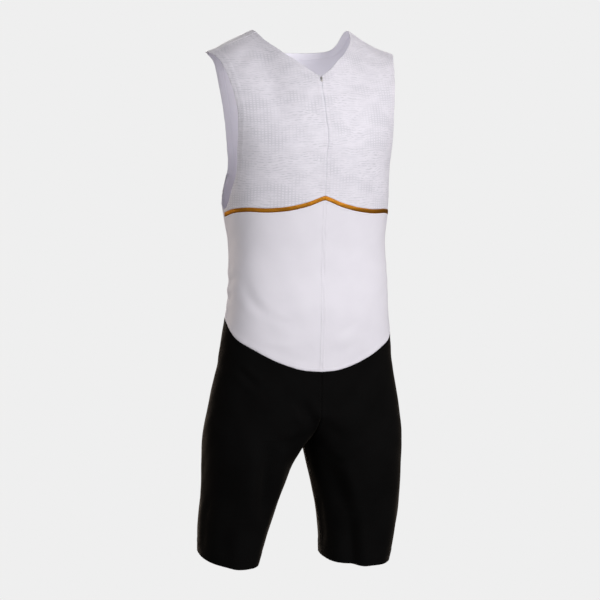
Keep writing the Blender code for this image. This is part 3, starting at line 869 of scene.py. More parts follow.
def front_body(side):
    bottom = seam_round(side, WAIST, WAIST_LEAN)
    top = seam_round(side, TRIM_TOP, TRIM_LEAN, drop=TRIM_HEIGHT)
    inner = spread(side, upright(0, bottom[0, 1], top[0, 1]), FRONT_ROWS)
    outer = spread(side, upright(90, bottom[-1, 1], top[-1, 1]), FRONT_ROWS)
    places = filled(bottom, top, inner, outer)
    grid, _ = fine(torso(side, places[..., 0], places[..., 1]), (0, FRONT_ROWS))
    points = inset(grid)
    points[:, 0, 0] = 0
    panel = Panel(points, side)
    panel.edge("waist", "first")
    panel.edge("strip", "last")
    panel.edge("centre", "inner")
    panel.edge("side", "outer")
    return panel.pressed()


def back_half(side):
    """One half of the back, from the centre out and from the shorts up over the shoulder."""
    bottom = seam_round(side, WAIST, WAIST_LEAN, 180)
    front_neck = neck_line(side)
    front_armhole = armhole_line()
    seam = shoulder_seam(up_to(front_neck, SHOULDER_SEAM), up_to(front_armhole, SHOULDER_SEAM))
    top = over_ridge(spread(side, seam, COLUMNS))[::-1]
    neck = from_behind(neck_line(side, back=True))
    armhole = from_behind(armhole_line(back=True))
    centre = upright(180, bottom[0, 1], neck[0, 1])
    side_seam = upright(90, bottom[-1, 1], armhole[0, 1])
    inner = joined(
        side, [(centre, CENTRE_BACK_ROWS), (neck, NECK_ROWS), (beyond(front_neck), SHOULDER_ROWS)]
    )
    armhole_rows = len(inner) - 1 - SIDE_SEAM_ROWS - SHOULDER_ROWS
    outer = joined(
        side,
        [(side_seam, SIDE_SEAM_ROWS), (armhole, armhole_rows), (beyond(front_armhole), SHOULDER_ROWS)],
    )
    places = filled(bottom, top, inner, outer)
    rows = (0, SIDE_SEAM_ROWS, CENTRE_BACK_ROWS, CENTRE_BACK_ROWS + NECK_ROWS, len(inner) - 1)
    grid, stops = fine(torso(side, places[..., 0], places[..., 1]), rows)
    points = inset(grid)
    points[: stops[2] + 1, 0, 0] = 0
    panel = Panel(points, -side)
    panel.edge("waist", "first")
    panel.edge("side", "outer", 0, stops[1] + 1)
    panel.edge("armhole", "outer", stops[1], None, sewn=False)
    panel.edge("neck", "inner", stops[2], None, sewn=False)
    panel.edge("shoulder", "last")
    panel.pressed()
    panel.centre_rows = stops[2] + 1
    return panel


def leg(side):
    grid, stops = fine(leg_rows(side), (0, HIP_ROWS + CROTCH_ROWS, HIP_ROWS + CROTCH_ROWS + LEG_ROWS))
    split = stops[1]
    grid[: split + 1, [0, -1], 0] = side * SEAM_GAP / 2
    grid[0, :, 2] -= SEAM_GAP / 2
    panel = Panel(grid, -side)
    ends = unit(panel.normals[split:, 0] + panel.normals[split:, -1])
    panel.normals[split:, 0] = panel.normals[split:, -1] = ends
    panel.edge("waist", "first")
    panel.edge("centre_front", "inner", 0, split + 1)
    panel.edge("centre_back", "outer", 0, split + 1)
    panel.edge("inner_leg", "inner", split, None)
    panel.edge("hem", "last", sewn=False)
    panel.pressed()
    panel.points[..., 0] = side * np.maximum(side * panel.points[..., 0], SEAM_GAP / 2)
    panel.points[: split + 1, [0, -1], 0] = side * SEAM_GAP / 2
    panel.points[split:, -1] = panel.points[split:, 0]
    return panel


# ---- Edges, turned hems and stitches ----

# Takes a direction or a place into the middle plane, where the two halves of the back meet.
OUT_OF_SIDES = np.array([0, 1, 1])


class Cloth:
    """A pressed panel that places can be looked up on."""

    def __init__(self, panel):
        self.panel = panel
        index = np.arange(panel.points[..., 0].size).reshape(panel.points.shape[:2])
        faces = quads(index, panel.outwards)
        self.tree = BVHTree.FromPolygons(panel.points.reshape(-1, 3).tolist(), faces)

    def nearest(self, points):
        """The nearest places on the cloth, and the way it faces there."""
        found = [self.tree.find_nearest(Vector(point))[:2] for point in points]
        return np.array([place for place, _ in found]), np.array([facing for _, facing in found])

    def edge(self, name):
        """An edge's points, its normals and the directions into the cloth."""
        where, first, last, _, _ = self.panel.seams[name]
        points = self.panel.side_of(self.panel.points, where)[0, first:last]
        normals = self.panel.side_of(self.panel.normals, where)[0, first:last]
        base = self.panel.side_of(self.panel.base, where)[:2, first:last]
        inwards = unit(np.cross(np.gradient(base[0], axis=0), normals))
        inwards = inwards * np.sign(np.sum(inwards * (base[1] - base[0])))
        if np.allclose(points[0], points[-1]):
            inwards[[0, -1]] = unit(inwards[0] + inwards[-1])
        if points[0, 0] == 0:
            inwards[0] = unit(inwards[0] * OUT_OF_SIDES)
            normals = normals.copy()
            normals[0] = unit(normals[0] * OUT_OF_SIDES)
        return points, normals, inwards

    def turned_under(self, name, width, mitre=None):
        """The cloth that is turned under at an edge, as a grid that starts on the edge's points."""
        points, normals, inwards = self.edge(name)
        widths = np.full(len(points), width)
        if mitre:
            lengths = lengths_along(points)
            from_corner = lengths if mitre == "start" else lengths[-1] - lengths
            widths = np.clip(MITRE * from_corner, 2 * HEM_RADIUS, width)
        rows = []
        for turn in np.linspace(0, pi / 2, ROUND_ROWS):
            inside, depth = HEM_RADIUS * (1 - np.cos(turn)), HEM_RADIUS * np.sin(turn)
            rows.append(points + inside * inwards - depth * normals)
        for t in np.linspace(0, 1, UNDER_ROWS + 1)[1:]:
            away = HEM_RADIUS + t * (widths - HEM_RADIUS)
            places, facing = self.nearest(points + away[:, None] * inwards)
            if points[0, 0] == 0:
                places[0] *= OUT_OF_SIDES
                facing[0] = unit(facing[0] * OUT_OF_SIDES)
            rows.append(places - 2 * HEM_RADIUS * facing)
        grid = np.array(rows)
        facing = np.cross(np.gradient(grid, axis=1), np.gradient(grid, axis=0))[0]
        return grid, int(-np.sign(np.sum(facing * inwards)))

    def stitches(self, name, away, trimmed=0.0):
        """Stitches in a row along an edge, away from it by a distance: their middles, ways and normals."""
        points, _, inwards = self.edge(name)
        places, facing = self.nearest(points + away * inwards)
        lengths = lengths_along(places)
        at = np.arange(trimmed + STITCH_PITCH / 2, lengths[-1] - trimmed, STITCH_PITCH)
        middles = sampled(at, lengths, places)
        return middles, unit(np.gradient(middles, axis=0)), unit(sampled(at, lengths, facing))


def quads(index, outwards):
    corners = [index[:-1, :-1], index[:-1, 1:], index[1:, 1:], index[1:, :-1]]
    return np.stack(corners[::outwards], axis=-1).reshape(-1, 4).tolist()


def tube_faces(rings, sides):
    """The faces of a closed tube: those between its rings, and a cap at each end."""
    faces = []
    for ring in range(rings - 1):
        for corner in range(sides):
            low, after = ring * sides + corner, ring * sides + (corner + 1) % sides
            faces.append([low, after, after + sides, low + sides])
    last = (rings - 1) * sides
    return faces + [list(range(sides))[::-1], list(range(last, last + sides))]


def rods(middles, ways, normals, length=STITCH_LENGTH, radius=STITCH_RADIUS, sides=5):
    """Short rods with rounded ends that dip into the cloth, one for each place: points and faces."""
    sideways = np.cross(normals, ways)
    rings = []
    for along, thick, lift in ROD_PROFILE:
        for turn in 2 * pi * np.arange(sides) / sides:
            across = radius * thick * (np.cos(turn) * sideways + np.sin(turn) * normals)
            rings.append(middles + along * length * ways + radius * lift * normals + across)
    points = np.stack(rings, axis=1)
    faces = tube_faces(len(ROD_PROFILE), sides)
    count = points.shape[1]
    starts = range(0, len(points) * count, count)
    all_faces = [[start + corner for corner in face] for start in starts for face in faces]
    return points.reshape(-1, 3), all_faces


# ---- Objects ----


def linked(name, data):
    """A new object in the scene."""
    made = bpy.data.objects.new(name, data)
    bpy.context.scene.collection.objects.link(made)
    return made


def new_object(name, points, faces, materials):
    mesh = bpy.data.meshes.new(name)
    mesh.from_pydata(np.asarray(points).tolist(), [], faces)
    for material in materials:
        mesh.materials.append(material)
    mesh.shade_smooth()
    return linked(name, mesh)


def weld(mesh):
    """Makes one point of those that meet."""
    work = bmesh.new()
    work.from_mesh(mesh)
    bmesh.ops.remove_doubles(work, verts=work.verts, dist=WELD_DISTANCE)
    work.to_mesh(mesh)
    work.free()


def add_cloth(name, grids, materials, wall=WALL):
    """A cloth piece of several grids: each has points, the way it faces and places on the flat cloth."""
    points, faces, flat = [], [], []
    for grid, outwards, places in grids:
        index = np.arange(grid[..., 0].size).reshape(grid.shape[:2]) + len(points)
        faces += quads(index, outwards)
        points += grid.reshape(-1, 3).tolist()
        flat += places.reshape(-1, 2).tolist()
    piece = new_object(name, points, faces, materials)
    mesh = piece.data
    corners = np.empty(len(mesh.loops), np.int32)
    mesh.loops.foreach_get("vertex_index", corners)
    layer = mesh.uv_layers.new(name="Flat")
    layer.data.foreach_set("uv", np.array(flat, np.float32)[corners].ravel())
    weld(mesh)
    solidify = piece.modifiers.new("wall", "SOLIDIFY")
    solidify.thickness = wall
    solidify.offset = -1
    solidify.material_offset = len(materials) - 1
    return piece


def add_threads(name, rows, material, **sizes):
    """Rows of stitches as one piece. Each row is its stitches' middles, ways and normals."""
    middles, ways, normals = [np.vstack(part) for part in zip(*rows)]
    points, faces = rods(middles, ways, normals, **sizes)
    return new_object(name, points, faces, [material])


def placed(piece, slot, *nodes):
    """Hangs a piece under the root, and hides the solid parts that it stands for."""
    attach(piece, "root")
    if nodes:
        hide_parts(*nodes)


# ---- Materials ----


class Material:
    """A Principled material and a short way to add nodes to it."""

    def __init__(self, name, roughness, **constants):
        self.material = bpy.data.materials.new(name)
        self.material.use_nodes = True
        self.tree = self.material.node_tree
        self.shader = self.tree.nodes["Principled BSDF"]
        self.shader.inputs["Roughness"].default_value = roughness
        for socket, value in constants.items():
            self.shader.inputs[socket.replace("_", " ")].default_value = value

    def node(self, kind, inputs=None, **settings):
        node = self.tree.nodes.new(kind)
        for name, value in settings.items():
            setattr(node, name, value)
        for name, value in (inputs or {}).items():
            self.set(node.inputs[name], value)
        return node

    def set(self, socket, value):
        if isinstance(value, bpy.types.NodeSocket):
            self.tree.links.new(value, socket)
        else:
            socket.default_value = value

    def math(self, operation, *values):
        node = self.tree.nodes.new("ShaderNodeMath")
        node.operation = operation
        for socket, value in zip(node.inputs, values):
            self.set(socket, value)
        return node.outputs[0]

    def step(self, value, low, high, start=0.0, end=1.0):
        """A soft step from start to end, as a value rises from low to high."""
        node = self.node("ShaderNodeMapRange", {"Value": value}, interpolation_type="SMOOTHSTEP")
        for name, level in (("From Min", low), ("From Max", high), ("To Min", start), ("To Max", end)):
            node.inputs[name].default_value = level
        return node.outputs["Result"]

    def noise(self, vector, scale, detail=2.0, roughness=0.5):
        inputs = {"Vector": vector, "Scale": scale, "Detail": detail, "Roughness": roughness}
        return self.node("ShaderNodeTexNoise", inputs).outputs["Fac"]

    def stretched(self, vector, x, y):
        node = self.node("ShaderNodeMapping", {"Vector": vector})
        node.inputs["Scale"].default_value = (x, y, 1)
        return node.outputs["Vector"]

    def patches(self, vector, look):
        """Soft patches of noise on the flat cloth."""
        noise = self.noise(self.stretched(vector, look.x, look.y), 1.0, look.detail, look.roughness)
        return self.step(noise, look.low, look.high)

    def wave(self, distance, pitch):
        """A smooth wave between 0 and 1 with one crest for each pitch."""
        turns = self.math("MULTIPLY", distance, 2 * pi / pitch)
        return self.math("MULTIPLY_ADD", self.math("SINE", turns), 0.5, 0.5)

    def blend(self, factor, first, second):
        node = self.node("ShaderNodeMix", data_type="RGBA")
        colours = [socket for socket in node.inputs if socket.type == "RGBA"]
        self.set(node.inputs[0], factor)
        self.set(colours[0], first)
        self.set(colours[1], second)
        return [socket for socket in node.outputs if socket.type == "RGBA"][0]

    def colour(self, value):
        self.set(self.shader.inputs["Base Color"], value)

    def bump(self, height, distance, strength=1.0):
        node = self.node("ShaderNodeBump", {"Height": height, "Distance": distance, "Strength": strength})
        self.tree.links.new(node.outputs["Normal"], self.shader.inputs["Normal"])

    def flat(self):
        """The place on the flat cloth, in metres."""
        uv = self.node("ShaderNodeUVMap", uv_map="Flat").outputs["UV"]
        parts = self.node("ShaderNodeSeparateXYZ", {"Vector": uv})
        return uv, parts.outputs["X"], parts.outputs["Y"]


WHITE = (0.798, 0.781, 0.864, 1)
WHITE_SHADE = (0.782, 0.765, 0.848, 1)
PRINT_GROUND = (0.794, 0.777, 0.862, 1)
PRINT_SHADE = (0.748, 0.733, 0.816, 1)
PRINT_MARK = (0.590, 0.588, 0.660, 1)
BLACK = (0.0048, 0.0047, 0.0048, 1)
BLACK_SHADE = (0.0041, 0.0040, 0.0041, 1)
# A shaded place at the crotch, two distances from it, and the weight of the black cloth's sheen at each.
SHADED_CROTCH = (-0.018, -0.055, -0.695)
CROTCH_SHEEN = (0.025, 0.075, 0.05, 0.44)
GOLD = (0.500, 0.205, 0.020, 1)
GOLD_SHADE = (0.430, 0.170, 0.016, 1)
GOLD_EDGE = (0.050, 0.350, 0.500, 1)
STEEL = (0.480, 0.470, 0.470, 1)
STEEL_WORN = (0.700, 0.690, 0.690, 1)
# Each thread's light and dark colour, and the same for the zip's teeth and its tape.
THREADS = {
    "white": ((0.78, 0.76, 0.82, 1), (0.66, 0.64, 0.70, 1)),
    "gold": ((0.34, 0.15, 0.018, 1), (0.24, 0.10, 0.012, 1)),
    "black": ((0.0036, 0.0035, 0.0036, 1), (0.0028, 0.0027, 0.0028, 1)),
}
TEETH = ((0.60, 0.58, 0.62, 1), (0.45, 0.44, 0.47, 1))
TAPE = ((0.66, 0.64, 0.69, 1), (0.50, 0.49, 0.54, 1))
WHITE_ROUGHNESS = 0.62
PRINT_ROUGHNESS = 0.66
THREAD_ROUGHNESS = 0.80
WHITE_SHEEN = {"Sheen_Weight": 0.10, "Sheen_Roughness": 0.45}
BLACK_FINISH = {"Sheen_Roughness": 0.25, "Sheen_Tint": (1.0, 0.84, 0.70, 1), "Specular_IOR_Level": 0.0}
# Noise scaled both ways, and the two values of it between which a patch's edge is.
Patches = namedtuple("Patches", "x y detail roughness low high")
WHITE_PATCHES = Patches(26, 26, 3, 0.5, 0.35, 0.70)
BLACK_PATCHES = Patches(18, 18, 3, 0.5, 0.35, 0.70)
PRINT_BREAKS = Patches(120, 420, 1, 0.5, 0.40, 0.60)
DASH_PATCHES = Patches(17, 42, 2, 0.5, 0.36, 0.62)
GRID_PATCHES = Patches(13, 20, 2, 0.6, 0.44, 0.64)
PRINT_CLOUDS = Patches(42, 95, 3, 0.6, 0.36, 0.64)
STEEL_WEAR_SCALE = 900
STEEL_WEAR_EDGE = (0.45, 0.70)
STEEL_GRAIN_SCALE = 2500
# What wear adds to the slider's roughness, and what it has without wear.
STEEL_ROUGHNESS = (0.15, 0.30)
THREAD_TWIST = 1400
KNIT_WALE = 0.00062
KNIT_COURSE = 0.00050
WALE_SHARE = 0.6
PRINT_ROW_PITCH = 0.0042
PRINT_COLUMN_PITCH = 0.0060
PRINT_ROW_EDGE = (0.30, 0.95)
PRINT_COLUMN_EDGE = (0.40, 0.95)
PRINT_SWAY = 0.016
PRINT_SWAY_SCALE = 24
# How strong the grid is in its patches. The dashes are weaker outside their own patches: the first share
# is added in them, and the second is everywhere. The printed rows sink into the knit's relief.
GRID_SHARE = 0.72
DASH_SHARES = (0.62, 0.28)
PRINT_SINK = 0.6
PRINT_STRENGTH = 0.92
STRIP_RIB_PITCH = 0.0011
STRIP_SLANT = 1.2
STRIP_FLECKS = (900, 300)
TAPE_RIB_PITCH = 0.0012
# How deep the fine relief of each surface is, and the share of it that shows.
KNIT_BUMP = 0.00005
PRINT_BUMP = 0.00006
STRIP_BUMP = 0.00012
TAPE_BUMP = 0.0001
THREAD_BUMP = 0.00005
METAL_BUMP = 0.00003
KNIT_STRENGTH = 0.5
WOVEN_STRENGTH = 0.6
METAL_STRENGTH = 0.4


def knit_height(material, u, v):
    """The relief of a fine jersey: wales side by side, crossed by softer courses."""
    wales = material.math("MULTIPLY", material.wave(u, KNIT_WALE), WALE_SHARE)
    return material.math("MULTIPLY_ADD", material.wave(v, KNIT_COURSE), 1 - WALE_SHARE, wales)


def plain_knit(made, patches, light, shade):
    """Gives a material the relief of the knit and two shades in soft patches."""
    uv, u, v = made.flat()
    made.colour(made.blend(made.patches(uv, patches), light, shade))
    made.bump(knit_height(made, u, v), KNIT_BUMP, KNIT_STRENGTH)
    return made.material


def white_elastane():
    made = Material("white_elastane", WHITE_ROUGHNESS, **WHITE_SHEEN)
    return plain_knit(made, WHITE_PATCHES, WHITE, WHITE_SHADE)


def black_elastane():
    """Black knit with a sheen that is lost in the shade of the crotch."""
    made = Material("black_elastane", 0.60, **BLACK_FINISH)
    place = made.node("ShaderNodeTexCoord").outputs["Object"]
    away = made.node("ShaderNodeVectorMath", operation="DISTANCE")
    made.set(away.inputs[0], place)
    away.inputs[1].default_value = SHADED_CROTCH
    made.set(made.shader.inputs["Sheen Weight"], made.step(away.outputs["Value"], *CROTCH_SHEEN))
    return plain_knit(made, BLACK_PATCHES, BLACK, BLACK_SHADE)


def printed_knit():
    """White knit with faint rows of dashes, here and there crossed into a small grid, in long patches."""
    made = Material("printed_knit", PRINT_ROUGHNESS, **WHITE_SHEEN)
    uv, u, v = made.flat()
    sway = made.math("MULTIPLY", made.math("SUBTRACT", made.noise(uv, PRINT_SWAY_SCALE, 3), 0.5), PRINT_SWAY)
    v_bent = made.math("ADD", v, sway)
    rows = made.step(made.wave(v_bent, PRINT_ROW_PITCH), *PRINT_ROW_EDGE)
    columns = made.step(made.wave(u, PRINT_COLUMN_PITCH), *PRINT_COLUMN_EDGE)
    dashes = made.math("MULTIPLY", rows, made.patches(uv, PRINT_BREAKS))
    grid = made.math("MULTIPLY", made.math("MAXIMUM", rows, columns), GRID_SHARE)
    shown = made.math("MULTIPLY_ADD", made.patches(uv, DASH_PATCHES), *DASH_SHARES)
    dashes = made.math("MULTIPLY", dashes, shown)
    grid = made.math("MULTIPLY", grid, made.patches(uv, GRID_PATCHES))
    factor = made.math("MULTIPLY", made.math("MAXIMUM", dashes, grid), PRINT_STRENGTH)
    ground = made.blend(made.patches(uv, PRINT_CLOUDS), PRINT_GROUND, PRINT_SHADE)
    made.colour(made.blend(factor, ground, PRINT_MARK))
    height = made.math("ADD", knit_height(made, u, v), made.math("MULTIPLY", rows, -PRINT_SINK))
    made.bump(height, PRINT_BUMP, KNIT_STRENGTH)
    return made.material


def gold_tape():
    """A woven tape: fine slanted ribs and a satin gloss."""
    made = Material("gold_tape", 0.50, Metallic=1.0, Specular_Tint=GOLD_EDGE)
    uv, u, v = made.flat()
    ribs = made.wave(made.math("ADD", u, made.math("MULTIPLY", v, STRIP_SLANT)), STRIP_RIB_PITCH)
    fleck = made.noise(made.stretched(uv, *STRIP_FLECKS), 1.0, 2)
    factor = made.math("MULTIPLY_ADD", ribs, 0.5, made.math("MULTIPLY", fleck, 0.5))
    made.colour(made.blend(factor, GOLD, GOLD_SHADE))
    made.bump(ribs, STRIP_BUMP, WOVEN_STRENGTH)
    return made.material


def zip_tape_cloth():
    made = Material("zip_tape", THREAD_ROUGHNESS)
    uv, u, v = made.flat()
    herringbone = made.wave(made.math("ADD", v, made.math("ABSOLUTE", u)), TAPE_RIB_PITCH)
    made.colour(made.blend(made.math("MULTIPLY", herringbone, 0.5), *TAPE))
    made.bump(herringbone, TAPE_BUMP, WOVEN_STRENGTH)
    return made.material


def plain_thread(name, colour, dark):
    made = Material(name, THREAD_ROUGHNESS, Specular_IOR_Level=0.1)
    place = made.node("ShaderNodeTexCoord").outputs["Object"]
    twist = made.noise(place, THREAD_TWIST, 1)
    made.colour(made.blend(twist, colour, dark))
    made.bump(twist, THREAD_BUMP, KNIT_STRENGTH)
    return made.material


def dark_metal():
    made = Material("dark_metal", 0.36, Metallic=0.6)
    place = made.node("ShaderNodeTexCoord").outputs["Object"]
    wear = made.step(made.noise(place, STEEL_WEAR_SCALE, 3), *STEEL_WEAR_EDGE)
    made.colour(made.blend(wear, STEEL, STEEL_WORN))
    made.set(made.shader.inputs["Roughness"], made.math("MULTIPLY_ADD", wear, *STEEL_ROUGHNESS))
    made.bump(made.noise(place, STEEL_GRAIN_SCALE, 2), METAL_BUMP, METAL_STRENGTH)
    return made.material


# ---- Building the suit ----

Sheet = namedtuple("Sheet", "width length area")


def meet_in_middle(first, second):
    """Draws the first columns of two grids together in the middle plane."""
    middle = (first[:, 0] + second[:, 0]) / 2
    middle[:, 0] = 0
    first[:, 0] = second[:, 0] = middle


def add_panel(name, cloths, turned, rows, materials, slot, thread):
    """A cloth piece with its turned edges and its stitches."""
    grids = [(cloth.panel.points, cloth.panel.outwards, cloth.panel.flat) for cloth in cloths]
    for edge in turned:
        strips = [cloth.turned_under(*edge) for cloth in cloths]
        if len(strips) == 2 and edge[0] == "neck":
            meet_in_middle(strips[0][0], strips[1][0])
        grids += [(grid, outwards, laid_flat(grid)) for grid, outwards in strips]
    piece = add_cloth(name + "_cloth", grids, materials)
    placed(piece, slot, name)
    stitches = []
    if rows:
        found = [cloth.stitches(*row) for cloth in cloths for row in rows]
        stitches = [add_threads(name + "_stitches", found, thread)]
        placed(stitches[0], slot)
    return piece


def add_suit():
    white = white_elastane()
    black = black_elastane()
    print_cloth = printed_knit()
    gold = gold_tape()
    threads = {name: plain_thread(name + "_thread", *colours) for name, colours in THREADS.items()}
    for side, name in ((1, "left"), (-1, "right")):
        add_panel(
            f"front_yoke_{name}",
            [Cloth(yoke(side))],
            [("neck", NECK_HEM, "start"), ("zip", ZIP_HEM, "end"), ("armhole", NECK_HEM)],
            [
                ("neck", NECK_STITCH),
                ("armhole", NECK_STITCH),
                ("shoulder", SHOULDER_STITCH),
                ("zip", ZIP_STITCH, ZIP_HEM),
            ],
            [print_cloth, white],
            "printed_knit",
            threads["white"],
        )
        add_panel(
            f"trim_{name}",
            [Cloth(trim(side))],
            [],
            [("strip_edge", STRIP_STITCH), ("strip_top", STRIP_STITCH)],
            [gold],
            "gold_tape",
            threads["gold"],
        )
        add_panel(
            f"front_body_{name}",
            [Cloth(front_body(side))],
            [],
            [("waist", WAIST_STITCH), ("waist", WAIST_EDGE_STITCH), ("centre", SEAM_STITCH)],
            [white],
            "white_elastane",
            threads["white"],
        )
        add_panel(
            f"leg_{name}",
            [Cloth(leg(side))],
            [("hem", LEG_HEM)],
            [("hem", away) for away in HEM_STITCHES]
            + [("centre_front", LEG_SEAM_STITCH), ("centre_back", LEG_SEAM_STITCH)],
            [black],
            "black_elastane",
            threads["black"],
        )
    halves = [back_half(1), back_half(-1)]
    rows = halves[0].centre_rows
    meet_in_middle(halves[0].points[:rows], halves[1].points[:rows])
    add_panel(
        "back_body",
        [Cloth(half) for half in halves],
        [("neck", NECK_HEM), ("armhole", NECK_HEM)],
        [("neck", NECK_STITCH), ("armhole", NECK_STITCH), ("waist", WAIST_STITCH), ("side", SEAM_STITCH)],
        [white],
        "white_elastane",
        threads["white"],
    )


def add_zip():
    """The tape behind the yoke's centre seam, and the teeth on its inner side."""
    low, high = level_at(1, 0.0, TRIM_TOP[0].z), level_at(1, 0.0, NECK_FRONT[0].z)
    levels = spread(1, upright(0, low, high), 2 * ZIP_SEAM_ROWS)[2:-2, 1]
    edge = angle_at(ZIP_WIDTH / 2, ARCH_FOOT)
    places = [(-1, edge), (-1, edge / 3), (1, 0.0), (1, edge / 3), (1, edge)]
    points = np.stack([torso(side, angle, levels) for side, angle in places], axis=1)
    normals = normals_of(points, 1)
    push = crease_push(points, normals) + ripple(points) - ZIP_DEPTH
    points = waved(points + push[..., None] * normals)
    tape = add_cloth("zip_tape_cloth", [(points, 1, laid_flat(points))], [zip_tape_cloth()], ZIP_THICKNESS)
    placed(tape, "zip_tape", "zip_tape")
    middle = points[:, 2] - (ZIP_THICKNESS + TOOTH_RADIUS) * normals[:, 2]
    lengths = lengths_along(middle)
    at = np.arange(TOOTH_PITCH, lengths[-1], TOOTH_PITCH / 2)
    teeth, facing = sampled(at, lengths, middle), unit(sampled(at, lengths, normals[:, 2]))
    teeth[:, 0] += TOOTH_OFFSET * np.where(np.arange(len(at)) % 2, 1, -1)
    ways = unit(np.cross(facing, np.gradient(teeth[:, [1, 1, 2]] * [0, 1, 1], axis=0)))
    sizes = {"length": TOOTH_LENGTH, "radius": TOOTH_RADIUS}
    coil = add_threads("zip_coil", [(teeth, ways, -facing)], plain_thread("zip_teeth", *TEETH), **sizes)
    placed(coil, "zip_tape")


def add_slider():
    """The zip's slider: a waisted body with a small bridge on it."""
    width, thickness, length = SLIDER_SIZE
    top = NECK_FRONT[0].z - SLIDER_DROP
    upper, lower = [torso(1, 0.0, level_at(1, 0.0, z)) for z in (top, top - length)]
    up = unit(upper - lower)
    out = np.array([0.0, -up[2], up[1]])
    base = (upper + lower) / 2 + SLIDER_CLEARANCE * out
    turn = np.linspace(0, 2 * pi, 48, endpoint=False)
    waist = 1 - SLIDER_WAIST * np.exp(-(((np.sin(turn) - SLIDER_WAIST_AT) / SLIDER_WAIST_LENGTH) ** 2))
    outline = np.stack([width / 2 * np.cos(turn) * waist, length / 2 * np.sin(turn)], axis=-1)
    rings = []
    for height, scale in SLIDER_OUTLINES:
        flat = outline * scale
        rings.append(base + flat[:, :1] * [1, 0, 0] + flat[:, 1:] * up + height * thickness * out)
    bridge = []
    reach, rise = BRIDGE_REACH * length, BRIDGE_RISE * thickness
    wide, high = BRIDGE_SECTION
    for step in np.linspace(0, pi, 13):
        middle = base + reach * np.cos(step) * up + (BRIDGE_FOOT * thickness + rise * np.sin(step)) * out
        ahead = unit(rise * np.cos(step) * out - reach * np.sin(step) * up)
        around = np.linspace(0, 2 * pi, 12, endpoint=False)[:, None]
        across = np.cross([1.0, 0, 0], ahead)
        bridge.append(middle + wide * np.cos(around) * [1, 0, 0] + high * np.sin(around) * across)
    points, faces = [], []
    for shape in (rings, bridge):
        start = len(points)
        points += np.vstack(shape).tolist()
        for face in tube_faces(len(shape), len(shape[0])):
            faces.append([start + corner for corner in face])
    slider = new_object("zip_slider_body", points, faces, [dark_metal()])
    work = bmesh.new()
    work.from_mesh(slider.data)
    bmesh.ops.recalc_face_normals(work, faces=work.faces)
    work.to_mesh(slider.data)
    work.free()
    slider.data.set_sharp_from_angle(angle=radians(50))
    placed(slider, "dark_metal", "zip_slider")


# ---- Light, floor and camera ----

BACKGROUND = (0.8632, 0.8632, 0.8632, 1)
CAMERA_AT = Vector((-0.99891, -3.04012, -0.150))
CAMERA_VIEW = Vector((-0.01005, 0.00326, -0.456)) - CAMERA_AT
CAMERA_LENS = 109.55
CAMERA_SENSOR = 36
CAMERA_RANGE = 200
CENTRE = Vector((0, 0, -0.46))
FLOOR_Z = -1.15
FLOOR_RADIUS = 60
# A light's place is round from the camera's side, positive to the right, and up from level.
Lamp = namedtuple("Lamp", "name round up away size power colour")
LAMPS = (
    Lamp("key", 42, 14, 3.2, 1.6, 80, (1.0, 0.985, 0.97)),
    Lamp("fill", -38, 10, 3.2, 1.8, 24, (1.0, 0.985, 0.97)),
    Lamp("right", 100, 42, 2.6, 1.2, 9, (1.0, 0.94, 0.89)),
    Lamp("rim_left", -122, 5, 2.4, 0.8, 12, (1.0, 0.83, 0.68)),
    Lamp("behind", -158, 28, 3.0, 1.8, 30, (1.0, 0.97, 0.94)),
)
AMBIENT = (0.140, 0.135, 0.130, 1)
# A small lamp inside the chest shows the inner side of the back.
InnerLamp = namedtuple("InnerLamp", "place towards size power colour")
INNER_LAMP = InnerLamp(Vector((0.015, -0.030, -0.150)), Vector((0.012, 0.095, -0.085)), 0.05, 0.11, (1, 1, 1))


def add_lamps():
    from_front = np.arctan2(CAMERA_VIEW.x, CAMERA_VIEW.y)
    for lamp in LAMPS:
        turn = radians(lamp.round) - from_front
        level = np.cos(radians(lamp.up))
        direction = Vector((np.sin(turn) * level, -np.cos(turn) * level, np.sin(radians(lamp.up))))
        add_lamp(lamp.name, CENTRE + lamp.away * direction, direction, lamp.size, lamp.power, lamp.colour)
    place, towards, *looks = INNER_LAMP
    add_lamp("inside", place, place - towards, *looks).visible_camera = False


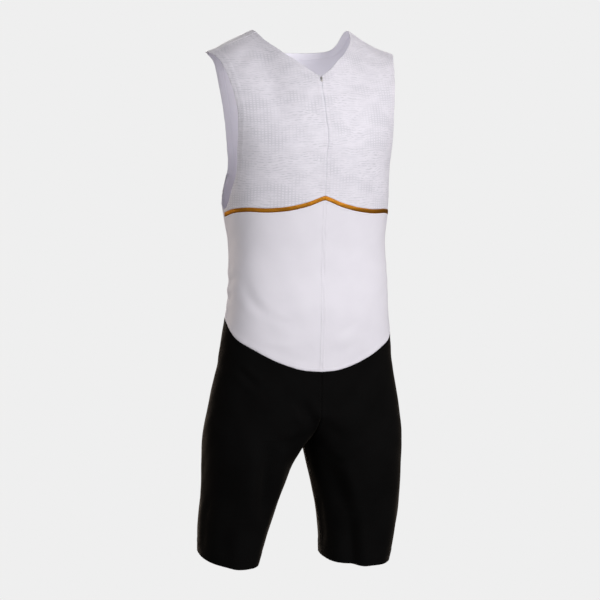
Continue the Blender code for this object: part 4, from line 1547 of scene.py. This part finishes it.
def add_lamp(name, place, back, size, power, colour):
    """A round lamp at a place, with its back towards the way that is given."""
    data = bpy.data.lights.new(name, "AREA")
    data.shape = "DISK"
    data.size = size
    data.energy = power
    data.color = colour
    light = linked(name, data)
    light.location = place
    light.rotation_euler = back.to_track_quat("Z", "Y").to_euler()
    return light


def add_surroundings():
    """An even pale backdrop. What the camera sees of it is brighter than what lights the suit."""
    world = bpy.data.worlds.new("studio")
    world.use_nodes = True
    bpy.context.scene.world = world
    tree = world.node_tree
    shown = tree.nodes["Background"]
    shown.inputs["Color"].default_value = BACKGROUND
    ambient = tree.nodes.new("ShaderNodeBackground")
    ambient.inputs["Color"].default_value = AMBIENT
    rays = tree.nodes.new("ShaderNodeLightPath")
    mix = tree.nodes.new("ShaderNodeMixShader")
    tree.links.new(rays.outputs["Is Camera Ray"], mix.inputs[0])
    tree.links.new(ambient.outputs[0], mix.inputs[1])
    tree.links.new(shown.outputs[0], mix.inputs[2])
    tree.links.new(mix.outputs[0], tree.nodes["World Output"].inputs["Surface"])
    at = (0, 0, FLOOR_Z)
    bpy.ops.mesh.primitive_circle_add(vertices=96, radius=FLOOR_RADIUS, fill_type="NGON", location=at)
    floor = bpy.context.object
    floor.name = "floor"
    paint = Material("floor", 1.0, Specular_IOR_Level=0, Emission_Color=BACKGROUND, Emission_Strength=1)
    paint.colour((0, 0, 0, 1))
    floor.data.materials.append(paint.material)
    floor.visible_diffuse = False
    floor.visible_glossy = False
    floor.visible_shadow = False


def add_camera():
    data = bpy.data.cameras.new("camera")
    data.lens = CAMERA_LENS
    data.sensor_width = CAMERA_SENSOR
    data.clip_end = CAMERA_RANGE
    camera = linked("camera", data)
    camera.location = CAMERA_AT
    camera.rotation_euler = CAMERA_VIEW.to_track_quat("-Z", "Y").to_euler()
    bpy.context.scene.camera = camera


bpy.context.scene.view_settings.view_transform = "Standard"
bpy.context.scene.view_settings.look = "None"
add_suit()
add_zip()
add_slider()
add_surroundings()
add_lamps()
add_camera()
